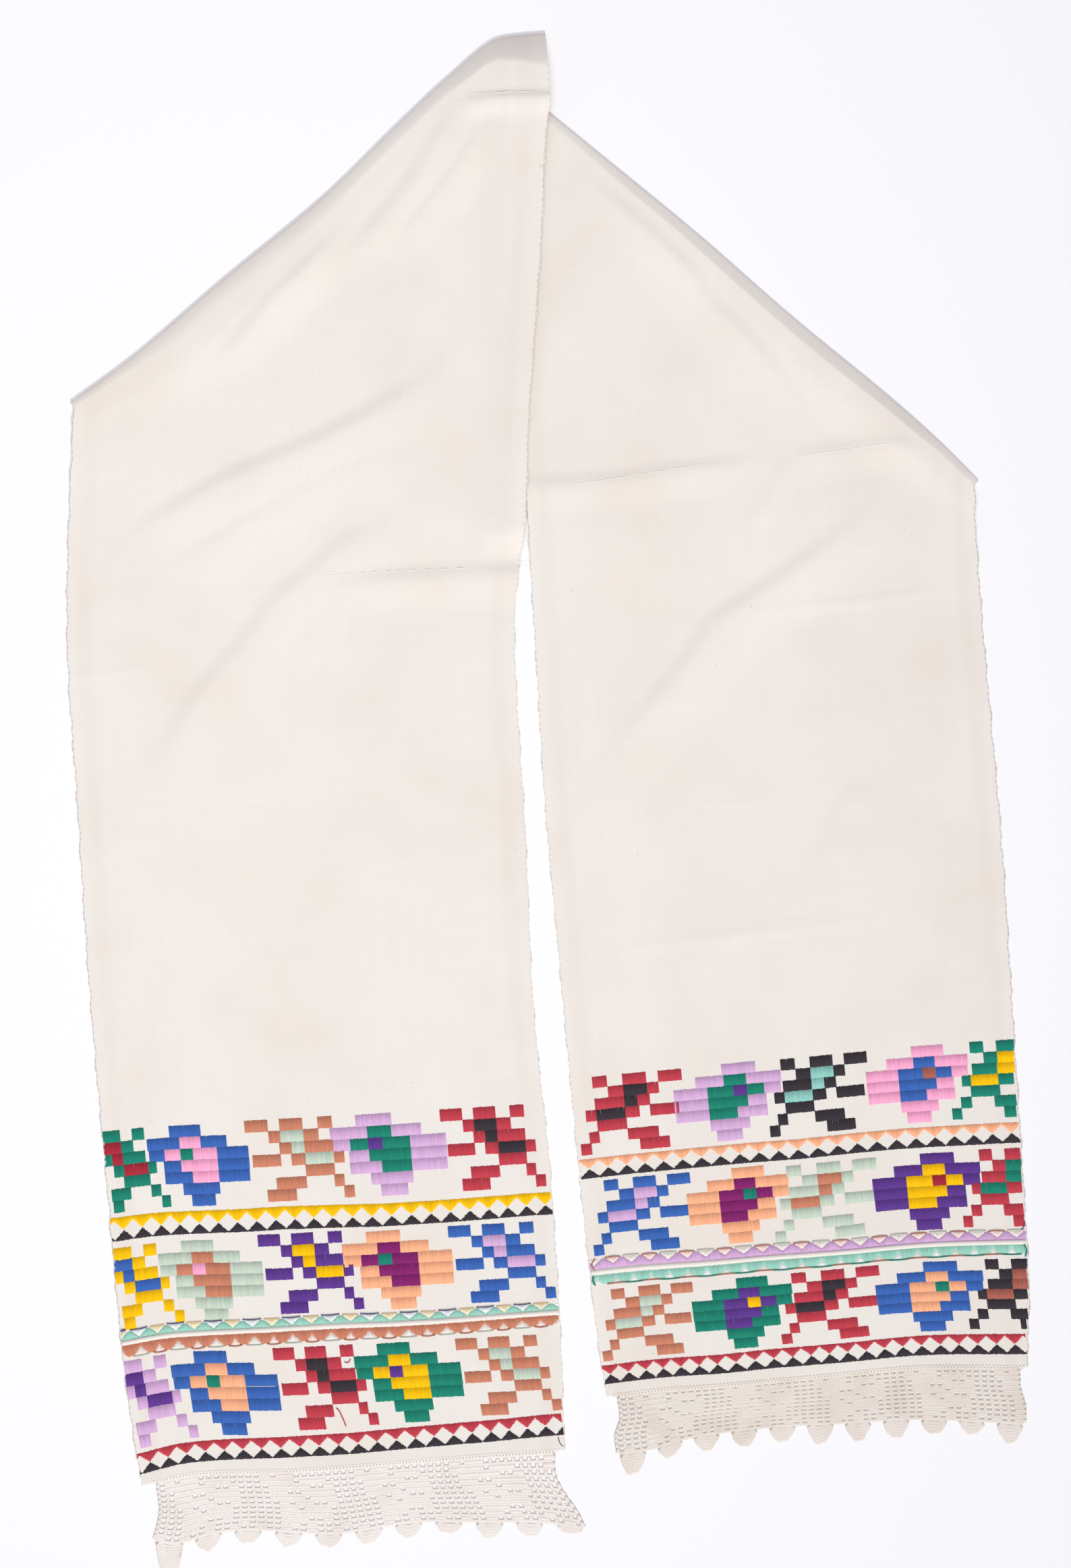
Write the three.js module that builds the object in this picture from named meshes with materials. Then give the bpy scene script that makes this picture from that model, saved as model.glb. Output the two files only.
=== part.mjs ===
import * as THREE from 'three';
import { mergeVertices } from 'three/addons/utils/BufferGeometryUtils.js';

// Ritual towel: one long strip of homespun cotton, folded under itself along two slanting folds so
// that both embroidered ends lie side by side, with a crocheted edging sewn to each end.
// Millimetres, +Z up, lying face up, +Y from the lace toward the folds.

// Cloth sizes
const CLOTH_THICKNESS = 1.2;
const LAYER_GAP = 0.6;
const LAYER_STEP = CLOTH_THICKNESS + LAYER_GAP;
const CELLS_ACROSS = 20;

// Each leg runs straight for this length above its hem, and fans toward its fold after that
const STRAIGHT_LENGTH = 380;
const STRAIGHT_STATIONS = 7;
const FAN_STATIONS = 30;
const FOLD_STATIONS = 7;
const FOLD_ZONE_SHARE = 0.06;
const FAR_SIDE_STEPS = 4;
const EDGE_STEPS = 3;
const MIDDLE_STATIONS = 10;

// A leg stays on the layer beneath it a little past that layer's edge, then slopes to the table
const CARRY_PAST = 8;
const CARRY_RAMP = 26;

// The left leg's inner edge lies over the right leg's, from the fold down to OVERLAP_END
const OVERLAP_LIFT = 4.2;
const OVERLAP_END = 228;
const OVERLAP_X = -26;
const OVERLAP_RAMP = 30;

// Soft ridges begin this far below a fold's crest, and taper over this share of their length at each end
const RIDGE_START = 24;
const RIDGE_TAPER = 0.3;

// A fold's thin outer edge: its radius, and the angle from upright where its turn begins
const FOLD_EDGE = 1;
const FOLD_EDGE_START = Math.PI / 6;

// Left leg, the upper one. Points: x, y.
const LEFT_LEG = {
  outer: [[-319, -524], [-332, -439], [-347, -280], [-361, -121], [-370, 6], [-379, 133], [-379, 218],
    [-375, 326]],
  inner: [[13, -496], [10, -407], [2, -280], [-11, -153], [-18, -10], [-27, 170], [-19, 250], [-17, 324],
    [-12, 404], [-7, 483], [-5, 547], [-3, 568], [-1, 586], [-2, 616]],
  hem: [[-319, -524], [-280, -515], [-197, -512], [-82, -503], [13, -496]],
  fold: [[-375, 326], [-327, 361], [-253, 424], [-176, 487.5], [-116, 546], [-77.5, 582], [-42, 610.5],
    [-25, 614], [-2, 616]],
};

// Right leg. Points: x, y.
const RIGHT_LEG = {
  outer: [[376, -431], [378, -376], [373, -280], [365, -153], [355, 6], [344, 149], [339, 229],
    [338, 264.5]],
  inner: [[46, -454], [39, -407], [25, -280], [13, -153], [-1, 6], [-10, 165], [-15, 255], [-20, 324],
    [-17, 430], [-12.5, 564]],
  hem: [[376, -431], [292, -431], [215, -438], [139, -445], [87, -449], [46, -454]],
  fold: [[338, 264.5], [308, 294.5], [270.5, 328], [191.5, 393], [119.5, 456], [44, 518], [-12.5, 564]],
};

// Fold rolls. Columns: share of the width from the outer edge, reach from the crest out to the outline,
// rise of the crest, length of the slope down to the leg, and the bend of the far side: 1 is straight,
// 2 is an arch.
const LEFT_ROLL = [
  [0, 5, 2.6, 30, 1.6],
  [0.06, 6, 2.9, 40, 1.6],
  [0.22, 14, 4.4, 65, 1.9],
  [0.43, 15, 4.6, 80, 2],
  [0.62, 10, 4.3, 90, 1.4],
  [0.77, 10, 4.8, 100, 1.3],
  [0.87, 13, 7.2, 110, 1.15],
  [0.935, 21, 10.5, 115, 1.2],
  [1, 27, 12, 115, 1.25],
];
const RIGHT_ROLL = [
  [0, 5, 2.8, 30, 1.3],
  [0.05, 6, 3.6, 40, 1.2],
  [0.15, 8.5, 5.4, 55, 1.1],
  [0.31, 10, 5.6, 60, 1.1],
  [0.53, 9.5, 5.3, 60, 1.1],
  [0.74, 8, 4.2, 55, 1.15],
  [0.92, 6, 3, 40, 1.3],
  [1, 5, 2.6, 30, 1.5],
];

// Hidden middle of the strip, flat on the table: the ends of its two fold lines and its lower edge
const MIDDLE_LEFT = { outer: [-369, 318], inner: [-34, 562] };
const MIDDLE_RIGHT = { outer: [332, 256], inner: [-17, 559] };
const MIDDLE_EDGE = [[-369, 318], [-192, 276], [-15, 247], [163, 247], [332, 256]];

// Soft ridges of the two legs: crest height, half width and the points x, y of the crest line
const LEFT_RIDGES = [
  { crest: 2.2, halfWidth: 20, line: [[-76, 357], [-98, 337], [-140, 313], [-183, 291], [-239, 268],
    [-281, 246], [-317, 224], [-339, 200]] },
  { crest: 1.4, halfWidth: 18, line: [[-98, 318], [-127, 286], [-189, 261], [-238, 230], [-294, 199]] },
  { crest: 2, halfWidth: 20, line: [[-100, 241], [-160, 211], [-209, 171], [-242, 127], [-270, 96],
    [-308, 31]] },
  { crest: 2, halfWidth: 18, line: [[-70, 550], [-85, 507], [-132, 462]] },
  { crest: 1.6, halfWidth: 18, line: [[-168, 453], [-185, 433], [-215, 405], [-244, 369]] },
  { crest: 1.8, halfWidth: 16, line: [[-209, 183], [-139, 188], [-26, 193], [40, 197]] },
];
const RIGHT_RIDGES = [
  { crest: 2.2, halfWidth: 20, line: [[259, 243], [220, 212], [178, 181], [134, 153], [100, 106],
    [44, 34]] },
  { crest: 2, halfWidth: 18, line: [[-14, 258], [56, 264], [146, 277], [196, 285], [277, 295]] },
  { crest: 2, halfWidth: 20, line: [[14, 508], [64, 472], [106, 430], [151, 377], [193, 321], [210, 298]] },
  { crest: 1, halfWidth: 16, line: [[159, 240], [166, 148], [179, -9], [189, -141]] },
  { crest: 1, halfWidth: 16, line: [[56, -101], [134, -93], [252, -80]] },
  { crest: 1.4, halfWidth: 18, line: [[246, 27], [229, 0], [221, -37]] },
];

// Crocheted edging: a grid of meshes below the seam, with a scalloped lower edge
const LACE_THICKNESS = 1.2;
const SEAM_GAP = 0.5;
const MESH_ROWS = 11;
const MESH_OPEN_WIDTH = 0.7;
const MESH_OPEN_HEIGHT = 0.62;
const GRID_SIDE_MARGIN = 0.012;
const GRID_TOP_MARGIN = 0.03;
const GRID_BOTTOM_MARGIN = 0.02;
const SCALLOP_STEPS = 12;
const SCALLOP_HALF_WIDTH = 0.31;
const SCALLOP_ROUNDNESS = 2.4;
const SEAM_STEPS = 24;

// One repeat of the pattern, from the seam down: o is an open mesh, a dot is a filled one
const LACE_REPEAT = [
  '...ooooo..o.',
  '............',
  '...oo..ooo..',
  'oo....oooo..',
  '..o...oooo..',
  'o..oo.oooo..',
  '.o....oooo..',
];

// Each edging: its meshes across, those before its first whole repeat, the shares of the hem where it
// starts and ends, the points x, y of its sides and of the line that its scallops hang from, and how
// deep each scallop is, all from left to right
const LEFT_LACE = {
  columns: 50,
  leadColumns: 4,
  hemShares: [0.027, 0.985],
  left: [[-308, -545], [-313, -566]],
  right: [[8, -512], [13, -526], [26, -545], [33, -559]],
  valleys: [[-313, -566], [-293, -570], [-264, -562], [-233, -559], [-168, -562], [-105, -553],
    [-43, -553], [-8, -553], [33, -559]],
  scallops: [27, 11, 9, 10, 9, 10, 10, 8, 11, 10, 4],
};
const RIGHT_LACE = {
  columns: 53,
  leadColumns: 5,
  hemShares: [0.982, 0.009],
  left: [[54, -472], [50, -486], [52, -500]],
  right: [[374, -448], [378, -462], [378, -476]],
  valleys: [[52, -500], [80, -496], [111, -487], [166, -479], [235, -475], [290, -472], [378, -476]],
  scallops: [16, 9, 11, 12, 11, 14, 13, 13, 10, 9, 14],
};

// Colours
const COTTON_COLOUR = 0xefe8e0;
const LACE_COLOUR = 0xe9e1d8;

function smooth(value) {
  return THREE.MathUtils.smoothstep(value, 0, 1);
}

function curveThrough(points) {
  const places = points.map(([x, y]) => new THREE.Vector3(x, y, 0));
  return new THREE.CatmullRomCurve3(places, false, 'centripetal');
}

// Reads a table's column at a value of its first column, with soft steps between the rows
function readTable(table, value, column) {
  const next = Math.max(1, table.findIndex(row => row[0] >= value));
  const [before, after] = [table[next - 1], table[next]];
  const share = smooth((value - before[0]) / (after[0] - before[0]));
  return THREE.MathUtils.lerp(before[column], after[column], share);
}

// How far x, y lies from a line, and the share of the line's length where it is nearest
function nearestOnLine(line, x, y) {
  let [nearest, nearestRun, run] = [Infinity, 0, 0];
  for (let i = 1; i < line.length; i += 1) {
    const [startX, startY] = line[i - 1];
    const [spanX, spanY] = [line[i][0] - startX, line[i][1] - startY];
    const span = Math.hypot(spanX, spanY);
    const along = ((x - startX) * spanX + (y - startY) * spanY) / (span * span);
    const share = THREE.MathUtils.clamp(along, 0, 1);
    const distance = Math.hypot(x - startX - share * spanX, y - startY - share * spanY);
    if (distance < nearest) {
      [nearest, nearestRun] = [distance, run + share * span];
    }
    run += span;
  }
  return { distance: nearest, share: nearestRun / run };
}

function ridgeHeight(ridges, x, y) {
  const heights = ridges.map(({ crest, halfWidth, line }) => {
    const { distance, share } = nearestOnLine(line, x, y);
    const taper = smooth(Math.min(share, 1 - share) / RIDGE_TAPER);
    return crest * taper * (1 - smooth(distance / halfWidth));
  });
  return Math.max(...heights);
}

// Lower edge of the hidden middle at a given x, level past its ends
function middleEdgeY(x) {
  const inside = THREE.MathUtils.clamp(x, MIDDLE_EDGE[0][0], MIDDLE_EDGE.at(-1)[0]);
  return readTable(MIDDLE_EDGE, inside, 1);
}

// What a leg rests on at x, y: the hidden middle, and for the left leg the right one's edge as well
function restHeight(leg, x, y) {
  const past = middleEdgeY(x) - y;
  const carried = LAYER_STEP * (1 - smooth((past - CARRY_PAST) / CARRY_RAMP));
  if (!leg.overlaps) {
    return carried;
  }
  const sideways = smooth((x - OVERLAP_X + OVERLAP_RAMP) / OVERLAP_RAMP);
  const lengthways = smooth((y - OVERLAP_END + CARRY_RAMP) / CARRY_RAMP);
  return carried + OVERLAP_LIFT * sideways * lengthways;
}

// A leg's four edges as curves; turn is +1 where the fold's outer side lies left of its direction
function makeLeg({ outer, inner, hem, fold }, roll, ridges, turn, overlaps) {
  return {
    outer: curveThrough(outer),
    inner: curveThrough(inner),
    hem: curveThrough(hem),
    fold: curveThrough(fold),
    roll,
    ridges,
    turn,
    overlaps,
  };
}

function foldRise(leg, across) {
  return readTable(leg.roll, across, 2);
}

// Crest line of a fold, inside the fold's outline
function foldCrest(leg, across) {
  const along = leg.fold.getTangentAt(across);
  const outward = new THREE.Vector3(-along.y, along.x, 0).multiplyScalar(leg.turn);
  return leg.fold.getPointAt(across).addScaledVector(outward, -readTable(leg.roll, across, 1));
}

// Stations from the hem to the fold: shares of the straight part and of the fan above it
function legStations() {
  const stations = [];
  for (let i = 0; i <= STRAIGHT_STATIONS; i += 1) {
    stations.push({ straight: i / STRAIGHT_STATIONS, fan: 0 });
  }
  for (let i = 1; i <= FAN_STATIONS; i += 1) {
    stations.push({ straight: 1, fan: (1 - FOLD_ZONE_SHARE) * i / FAN_STATIONS });
  }
  for (let i = 1; i <= FOLD_STATIONS; i += 1) {
    stations.push({ straight: 1, fan: 1 - FOLD_ZONE_SHARE * (1 - i / FOLD_STATIONS) });
  }
  return stations;
}

// Point of a leg's middle surface at a share of its width and at a station
function legPoint(leg, across, { straight, fan }) {
  const edgePoints = [leg.outer, leg.inner].map(edge => {
    const length = edge.getLength();
    const distance = STRAIGHT_LENGTH * straight + (length - STRAIGHT_LENGTH) * fan;
    return edge.getPointAt(distance / length);
  });
  const point = edgePoints[0].lerp(edgePoints[1], across);
  const hemChord = leg.outer.getPointAt(0).lerp(leg.inner.getPointAt(0), across);
  const foldChord = leg.outer.getPointAt(1).lerp(leg.inner.getPointAt(1), across);
  point.addScaledVector(leg.hem.getPointAt(across).sub(hemChord), 1 - straight);
  point.addScaledVector(foldCrest(leg, across).sub(foldChord), fan);

  const length = THREE.MathUtils.lerp(leg.outer.getLength(), leg.inner.getLength(), across);
  const fromFold = (length - STRAIGHT_LENGTH) * (1 - fan) + STRAIGHT_LENGTH * (1 - straight);
  const slope = 1 - smooth(fromFold / readTable(leg.roll, across, 3));
  const rest = restHeight(leg, point.x, point.y);
  const ridge = ridgeHeight(leg.ridges, point.x, point.y) * smooth(fromFold / RIDGE_START);
  point.z = CLOTH_THICKNESS / 2 + ridge + THREE.MathUtils.lerp(rest, foldRise(leg, across), slope);
  return point;
}

// Steps of a fold roll: down its far side, then round its thin edge
function rollSteps() {
  const steps = [];
  for (let i = 1; i <= FAR_SIDE_STEPS; i += 1) {
    steps.push({ side: i / FAR_SIDE_STEPS, turned: 0 });
  }
  for (let i = 1; i <= EDGE_STEPS; i += 1) {
    steps.push({ side: 1, turned: i / EDGE_STEPS });
  }
  return steps;
}

// Point of a fold roll, between the leg's crest and the hidden middle under it
function rollPoint(leg, across, { side, turned }) {
  const crest = foldCrest(leg, across);
  const outline = leg.fold.getPointAt(across);
  const reach = crest.distanceTo(outline);
  const angle = THREE.MathUtils.lerp(FOLD_EDGE_START, Math.PI, turned);
  const edgeOut = reach - FOLD_EDGE * (1 - Math.sin(angle));
  const edgeUp = FOLD_EDGE * (1 + Math.cos(angle));
  const bend = readTable(leg.roll, across, 4);
  const point = crest.lerp(outline, side * edgeOut / reach);
  point.z = CLOTH_THICKNESS / 2 + edgeUp + (foldRise(leg, across) - edgeUp) * (1 - side ** bend);
  return point;
}

function straightLine({ outer, inner }) {
  const [start, end] = [outer, inner].map(([x, y]) => new THREE.Vector3(x, y, CLOTH_THICKNESS / 2));
  return across => start.clone().lerp(end, across);
}

function middlePoint(leftLine, rightLine, edge, across, along) {
  const point = leftLine(across).lerp(rightLine(across), along);
  const chord = leftLine(0).lerp(rightLine(0), along);
  const sag = edge.getPointAt(along).sub(chord).setZ(0);
  return point.addScaledVector(sag, 1 - across);
}

// The strip's middle surface as rows of points, from the left hem round to the right hem
function stripRows() {
  const left = makeLeg(LEFT_LEG, LEFT_ROLL, LEFT_RIDGES, 1, true);
  const right = makeLeg(RIGHT_LEG, RIGHT_ROLL, RIGHT_RIDGES, -1, false);
  const leftLine = straightLine(MIDDLE_LEFT);
  const rightLine = straightLine(MIDDLE_RIGHT);
  const middleEdge = curveThrough(MIDDLE_EDGE);
  const stations = legStations();
  const rolls = rollSteps();
  const places = [
    ...stations.map(station => across => legPoint(left, across, station)),
    ...rolls.map(step => across => rollPoint(left, across, step)),
  ];
  for (let i = 0; i <= MIDDLE_STATIONS; i += 1) {
    places.push(across => middlePoint(leftLine, rightLine, middleEdge, across, i / MIDDLE_STATIONS));
  }
  places.push(
    ...rolls.toReversed().map(step => across => rollPoint(right, across, step)),
    ...stations.toReversed().map(station => across => legPoint(right, across, station)),
  );
  return places.map(place =>
    Array.from({ length: CELLS_ACROSS + 1 }, (_, i) => place(i / CELLS_ACROSS)));
}

// Normal of the middle surface at each point, from its neighbours in the grid
function rowNormals(rows) {
  return rows.map((row, r) => row.map((_, c) => {
    const along = rows[Math.min(r + 1, rows.length - 1)][c].clone().sub(rows[Math.max(r - 1, 0)][c]);
    const across = row[Math.min(c + 1, row.length - 1)].clone().sub(row[Math.max(c - 1, 0)]);
    return across.cross(along).normalize();
  }));
}

// Closed sheet around the middle surface
function sheetGeometry(rows, thickness) {
  const normals = rowNormals(rows);
  const columns = rows[0].length;
  const positions = [];
  for (const side of [1, -1]) {
    rows.forEach((row, r) => row.forEach((point, c) => {
      positions.push(...point.clone().addScaledVector(normals[r][c], side * thickness / 2));
    }));
  }
  const underside = rows.length * columns;
  const face = (r, c) => r * columns + c;
  const back = (r, c) => underside + face(r, c);
  const triangles = [];
  const quad = (a, b, c, d) => triangles.push(a, b, c, a, c, d);
  for (let r = 0; r < rows.length - 1; r += 1) {
    for (let c = 0; c < columns - 1; c += 1) {
      quad(face(r, c), face(r, c + 1), face(r + 1, c + 1), face(r + 1, c));
      quad(back(r, c), back(r + 1, c), back(r + 1, c + 1), back(r, c + 1));
    }
    quad(face(r, 0), face(r + 1, 0), back(r + 1, 0), back(r, 0));
    quad(face(r, columns - 1), back(r, columns - 1), back(r + 1, columns - 1), face(r + 1, columns - 1));
  }
  const last = rows.length - 1;
  for (let c = 0; c < columns - 1; c += 1) {
    quad(face(0, c), back(0, c), back(0, c + 1), face(0, c + 1));
    quad(face(last, c), face(last, c + 1), back(last, c + 1), back(last, c));
  }
  const geometry = new THREE.BufferGeometry();
  geometry.setAttribute('position', new THREE.Float32BufferAttribute(positions, 3));
  geometry.setIndex(triangles);
  geometry.computeVertexNormals();
  return geometry;
}

// A lace patch between its four edges: along from left to right, down from the seam to the scallops
function lacePatch({ hemShares, left, right, valleys }, hem) {
  const seam = along => {
    const point = hem.getPointAt(THREE.MathUtils.lerp(...hemShares, along));
    point.y -= SEAM_GAP;
    return point;
  };
  const [leftSide, rightSide] = [[0, left], [1, right]].map(([end, points]) =>
    curveThrough([seam(end).toArray(), ...points]));
  const valleyLine = curveThrough(valleys);
  return (along, down) => {
    const between = seam(along).lerp(valleyLine.getPointAt(along), down);
    const sides = leftSide.getPointAt(down).lerp(rightSide.getPointAt(down), along);
    const seamChord = seam(0).lerp(seam(1), along);
    const valleyChord = valleyLine.getPointAt(0).lerp(valleyLine.getPointAt(1), along);
    return between.add(sides).sub(seamChord.lerp(valleyChord, down));
  };
}

// How far a rounded scallop hangs down, as a share of its depth; a flat valley lies on either side of it
function scallopDrop(share) {
  const fromMiddle = Math.abs(share - 0.5) / SCALLOP_HALF_WIDTH;
  return Math.max(0, 1 - fromMiddle ** SCALLOP_ROUNDNESS);
}

function laceOutline(patch, scallops) {
  const points = [];
  for (let i = 0; i <= SEAM_STEPS; i += 1) {
    points.push(patch(i / SEAM_STEPS, 0));
  }
  for (let i = 1; i <= MESH_ROWS; i += 1) {
    points.push(patch(1, i / MESH_ROWS));
  }
  for (let i = scallops.length * SCALLOP_STEPS - 1; i > 0; i -= 1) {
    const wave = i / SCALLOP_STEPS;
    const point = patch(wave / scallops.length, 1);
    point.y -= scallops[Math.floor(wave)] * scallopDrop(wave % 1);
    points.push(point);
  }
  for (let i = MESH_ROWS; i > 0; i -= 1) {
    points.push(patch(0, i / MESH_ROWS));
  }
  return points.map(({ x, y }) => new THREE.Vector2(x, y));
}

function meshOpening(patch, column, row, columns) {
  const halfWidth = MESH_OPEN_WIDTH / 2;
  const halfHeight = MESH_OPEN_HEIGHT / 2;
  const corners = [[-halfWidth, -halfHeight], [-halfWidth, halfHeight], [halfWidth, halfHeight],
    [halfWidth, -halfHeight]];
  return new THREE.Path(corners.map(([sideways, down]) => {
    const alongShare = (column + 0.5 + sideways) / columns;
    const downShare = (row + 0.5 + down) / MESH_ROWS;
    const { x, y } = patch(
      THREE.MathUtils.lerp(GRID_SIDE_MARGIN, 1 - GRID_SIDE_MARGIN, alongShare),
      THREE.MathUtils.lerp(GRID_TOP_MARGIN, 1 - GRID_BOTTOM_MARGIN, downShare),
    );
    return new THREE.Vector2(x, y);
  }));
}

function laceGeometry(lace, hem) {
  const patch = lacePatch(lace, curveThrough(hem));
  const shape = new THREE.Shape(laceOutline(patch, lace.scallops));
  LACE_REPEAT.forEach((meshes, row) => {
    for (let column = 0; column < lace.columns; column += 1) {
      if (meshes.at((column - lace.leadColumns) % meshes.length) === 'o') {
        shape.holes.push(meshOpening(patch, column, row, lace.columns));
      }
    }
  });
  const geometry = new THREE.ExtrudeGeometry(shape, { depth: LACE_THICKNESS, bevelEnabled: false });
  geometry.deleteAttribute('normal');
  geometry.deleteAttribute('uv');
  const merged = mergeVertices(geometry);
  merged.computeVertexNormals();
  return merged;
}

function fabric(color) {
  return new THREE.MeshStandardMaterial({ color, roughness: 0.95, metalness: 0 });
}

function piece(name, geometry, material) {
  const mesh = new THREE.Mesh(geometry, material);
  mesh.name = name;
  return mesh;
}

// The towel, moved so that its origin is below the middle of its box
const towel = new THREE.Group();
towel.add(
  piece('cloth', sheetGeometry(stripRows(), CLOTH_THICKNESS), fabric(COTTON_COLOUR)),
  piece('lace_left', laceGeometry(LEFT_LACE, LEFT_LEG.hem), fabric(LACE_COLOUR)),
  piece('lace_right', laceGeometry(RIGHT_LACE, RIGHT_LEG.hem), fabric(LACE_COLOUR)),
);
const box = new THREE.Box3().setFromObject(towel, true);
const centre = box.getCenter(new THREE.Vector3());
towel.position.set(-centre.x, -centre.y, -box.min.z);

export default towel;
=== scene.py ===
# A ritual towel of homespun cotton, lying face up: one long strip folded under itself along two slanting
# folds, so that both embroidered ends lie side by side, with crocheted lace sewn to each end.
# Sizes are in millimetres, x to the right, y from the lace toward the folds, z up.

import math

import bpy
import numpy as np
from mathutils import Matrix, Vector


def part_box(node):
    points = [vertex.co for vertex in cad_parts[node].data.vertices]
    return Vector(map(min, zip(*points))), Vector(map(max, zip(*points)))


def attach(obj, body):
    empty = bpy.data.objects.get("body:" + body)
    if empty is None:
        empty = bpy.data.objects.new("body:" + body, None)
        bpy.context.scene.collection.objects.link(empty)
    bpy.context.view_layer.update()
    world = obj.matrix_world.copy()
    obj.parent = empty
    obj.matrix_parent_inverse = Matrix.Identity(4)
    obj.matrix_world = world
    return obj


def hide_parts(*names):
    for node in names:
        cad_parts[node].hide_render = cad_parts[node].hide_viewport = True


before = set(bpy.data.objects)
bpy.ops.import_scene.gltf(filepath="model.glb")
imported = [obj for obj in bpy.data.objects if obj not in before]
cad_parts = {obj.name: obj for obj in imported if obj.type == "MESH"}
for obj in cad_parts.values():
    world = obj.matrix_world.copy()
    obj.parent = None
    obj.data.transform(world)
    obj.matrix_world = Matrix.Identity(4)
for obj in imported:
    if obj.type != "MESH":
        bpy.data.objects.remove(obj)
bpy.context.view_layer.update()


# Camera: the towel is seen from straight above, with the lace toward the viewer.
# The view is as large as the photograph's frame at the towel's own scale.
MM = 0.001
PHOTO_SIZE = (1588, 2324)
MM_PER_PIXEL = 0.53
VIEW_CENTRE = (-10, 17)
CAMERA_HEIGHT = 2400
SENSOR_HEIGHT = 24

camera_data = bpy.data.cameras.new("overhead_camera")
camera_data.sensor_fit = "VERTICAL"
camera_data.sensor_height = SENSOR_HEIGHT
camera_data.lens = SENSOR_HEIGHT * CAMERA_HEIGHT / (PHOTO_SIZE[1] * MM_PER_PIXEL)
camera = bpy.data.objects.new("overhead_camera", camera_data)
camera.location = (VIEW_CENTRE[0] * MM, VIEW_CENTRE[1] * MM, CAMERA_HEIGHT * MM)
bpy.context.scene.collection.objects.link(camera)
bpy.context.scene.camera = camera


# Floor and light: a plain pale tabletop in a bright room, with two studio lamps.
# A long soft box hangs over the left leg; the other lamp stands low beyond the lace, so that the far
# sides of the folds and of the creases lie in shade.
FLOOR_SIZE = 6000
FLOOR_DROP = 0.05
FLOOR_COLOUR = "#F3F3F5"
# The board's painted glow, which keeps the shadows on it faint
FLOOR_PAINTED_GLOW = 0.12
ROOM_COLOUR = "#F6F3FF"
ROOM_STRENGTH = 0.5
SOFT_BOX_COLOUR = "#FFFFF9"
SOFT_BOX_PLACE = (-260, -40, 1300)
SOFT_BOX_SIZE = (400, 1800)
SOFT_BOX_POWER = 4.5
LAMP_COLOUR = "#FFFFF7"
LAMP_STRENGTH = 1.91
LAMP_ELEVATION = 34
LAMP_AZIMUTH = 12
LAMP_SPREAD = 9


def linear(hex_colour):
    """An sRGB hex colour as linear red, green, blue and alpha."""
    shares = [int(hex_colour[i:i + 2], 16) / 255 for i in (1, 3, 5)]
    return [s / 12.92 if s <= 0.04045 else ((s + 0.055) / 1.055) ** 2.4 for s in shares] + [1.0]


def add_node(tree, kind, inputs=(), **settings):
    """Adds a shader node; an input takes a value, or a socket to link."""
    node = tree.nodes.new(kind)
    for name, value in settings.items():
        setattr(node, name, value)
    for name, value in dict(inputs).items():
        if isinstance(value, bpy.types.NodeSocket):
            tree.links.new(value, node.inputs[name])
        else:
            node.inputs[name].default_value = value
    return node


def new_material(name):
    """A material with its node tree and its empty shader."""
    material = bpy.data.materials.new(name)
    material.use_nodes = True
    return material, material.node_tree, material.node_tree.nodes["Principled BSDF"]


# Painted board: flat, even and without gloss, its white a little brighter than the cloth, with a faint
# painted glow
floor_material, _, floor_shader = new_material("glowing_board")
floor_shader.inputs["Base Color"].default_value = linear(FLOOR_COLOUR)
floor_shader.inputs["Roughness"].default_value = 0.9
floor_shader.inputs["Specular IOR Level"].default_value = 0.1
# Painted glow: the board glows faintly, so that the shadows on it stay faint
floor_shader.inputs["Emission Color"].default_value = linear(FLOOR_COLOUR)
floor_shader.inputs["Emission Strength"].default_value = FLOOR_PAINTED_GLOW

half_floor = FLOOR_SIZE * MM / 2
floor_mesh = bpy.data.meshes.new("floor")
floor_mesh.from_pydata(
    [(x * half_floor, y * half_floor, -FLOOR_DROP * MM) for x, y in ((-1, -1), (1, -1), (1, 1), (-1, 1))],
    [], [(0, 1, 2, 3)])
floor_mesh.materials.append(floor_material)
floor = bpy.data.objects.new("floor", floor_mesh)
bpy.context.scene.collection.objects.link(floor)

room = bpy.data.worlds.new("overcast_room")
room.use_nodes = True
room.node_tree.nodes["Background"].inputs["Color"].default_value = linear(ROOM_COLOUR)
room.node_tree.nodes["Background"].inputs["Strength"].default_value = ROOM_STRENGTH
bpy.context.scene.world = room
bpy.context.scene.view_settings.view_transform = "Standard"

soft_box_data = bpy.data.lights.new("soft_box", "AREA")
soft_box_data.color = linear(SOFT_BOX_COLOUR)[:3]
soft_box_data.energy = SOFT_BOX_POWER
soft_box_data.shape = "RECTANGLE"
soft_box_data.size, soft_box_data.size_y = [size * MM for size in SOFT_BOX_SIZE]
soft_box = bpy.data.objects.new("soft_box", soft_box_data)
soft_box.location = [place * MM for place in SOFT_BOX_PLACE]
soft_box.visible_camera = False
bpy.context.scene.collection.objects.link(soft_box)

lamp_data = bpy.data.lights.new("low_lamp", "SUN")
lamp_data.color = linear(LAMP_COLOUR)[:3]
lamp_data.energy = LAMP_STRENGTH
lamp_data.angle = math.radians(LAMP_SPREAD)
lamp = bpy.data.objects.new("low_lamp", lamp_data)
lamp.rotation_euler = (math.radians(90 - LAMP_ELEVATION), 0, math.radians(LAMP_AZIMUTH))
bpy.context.scene.collection.objects.link(lamp)


# Cloth: one strip of plain-woven homespun cotton, thin and matte, both ends hemmed.
# It is folded under along two slanting lines, so its hidden middle lies flat beneath the two legs.
# The left leg's inner edge lies over the right leg's, and soft ridges run down from the folds.
CLOTH_WIDTH = 352
CLOTH_THICKNESS = 0.9
SHARP_ANGLE = 50

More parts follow.
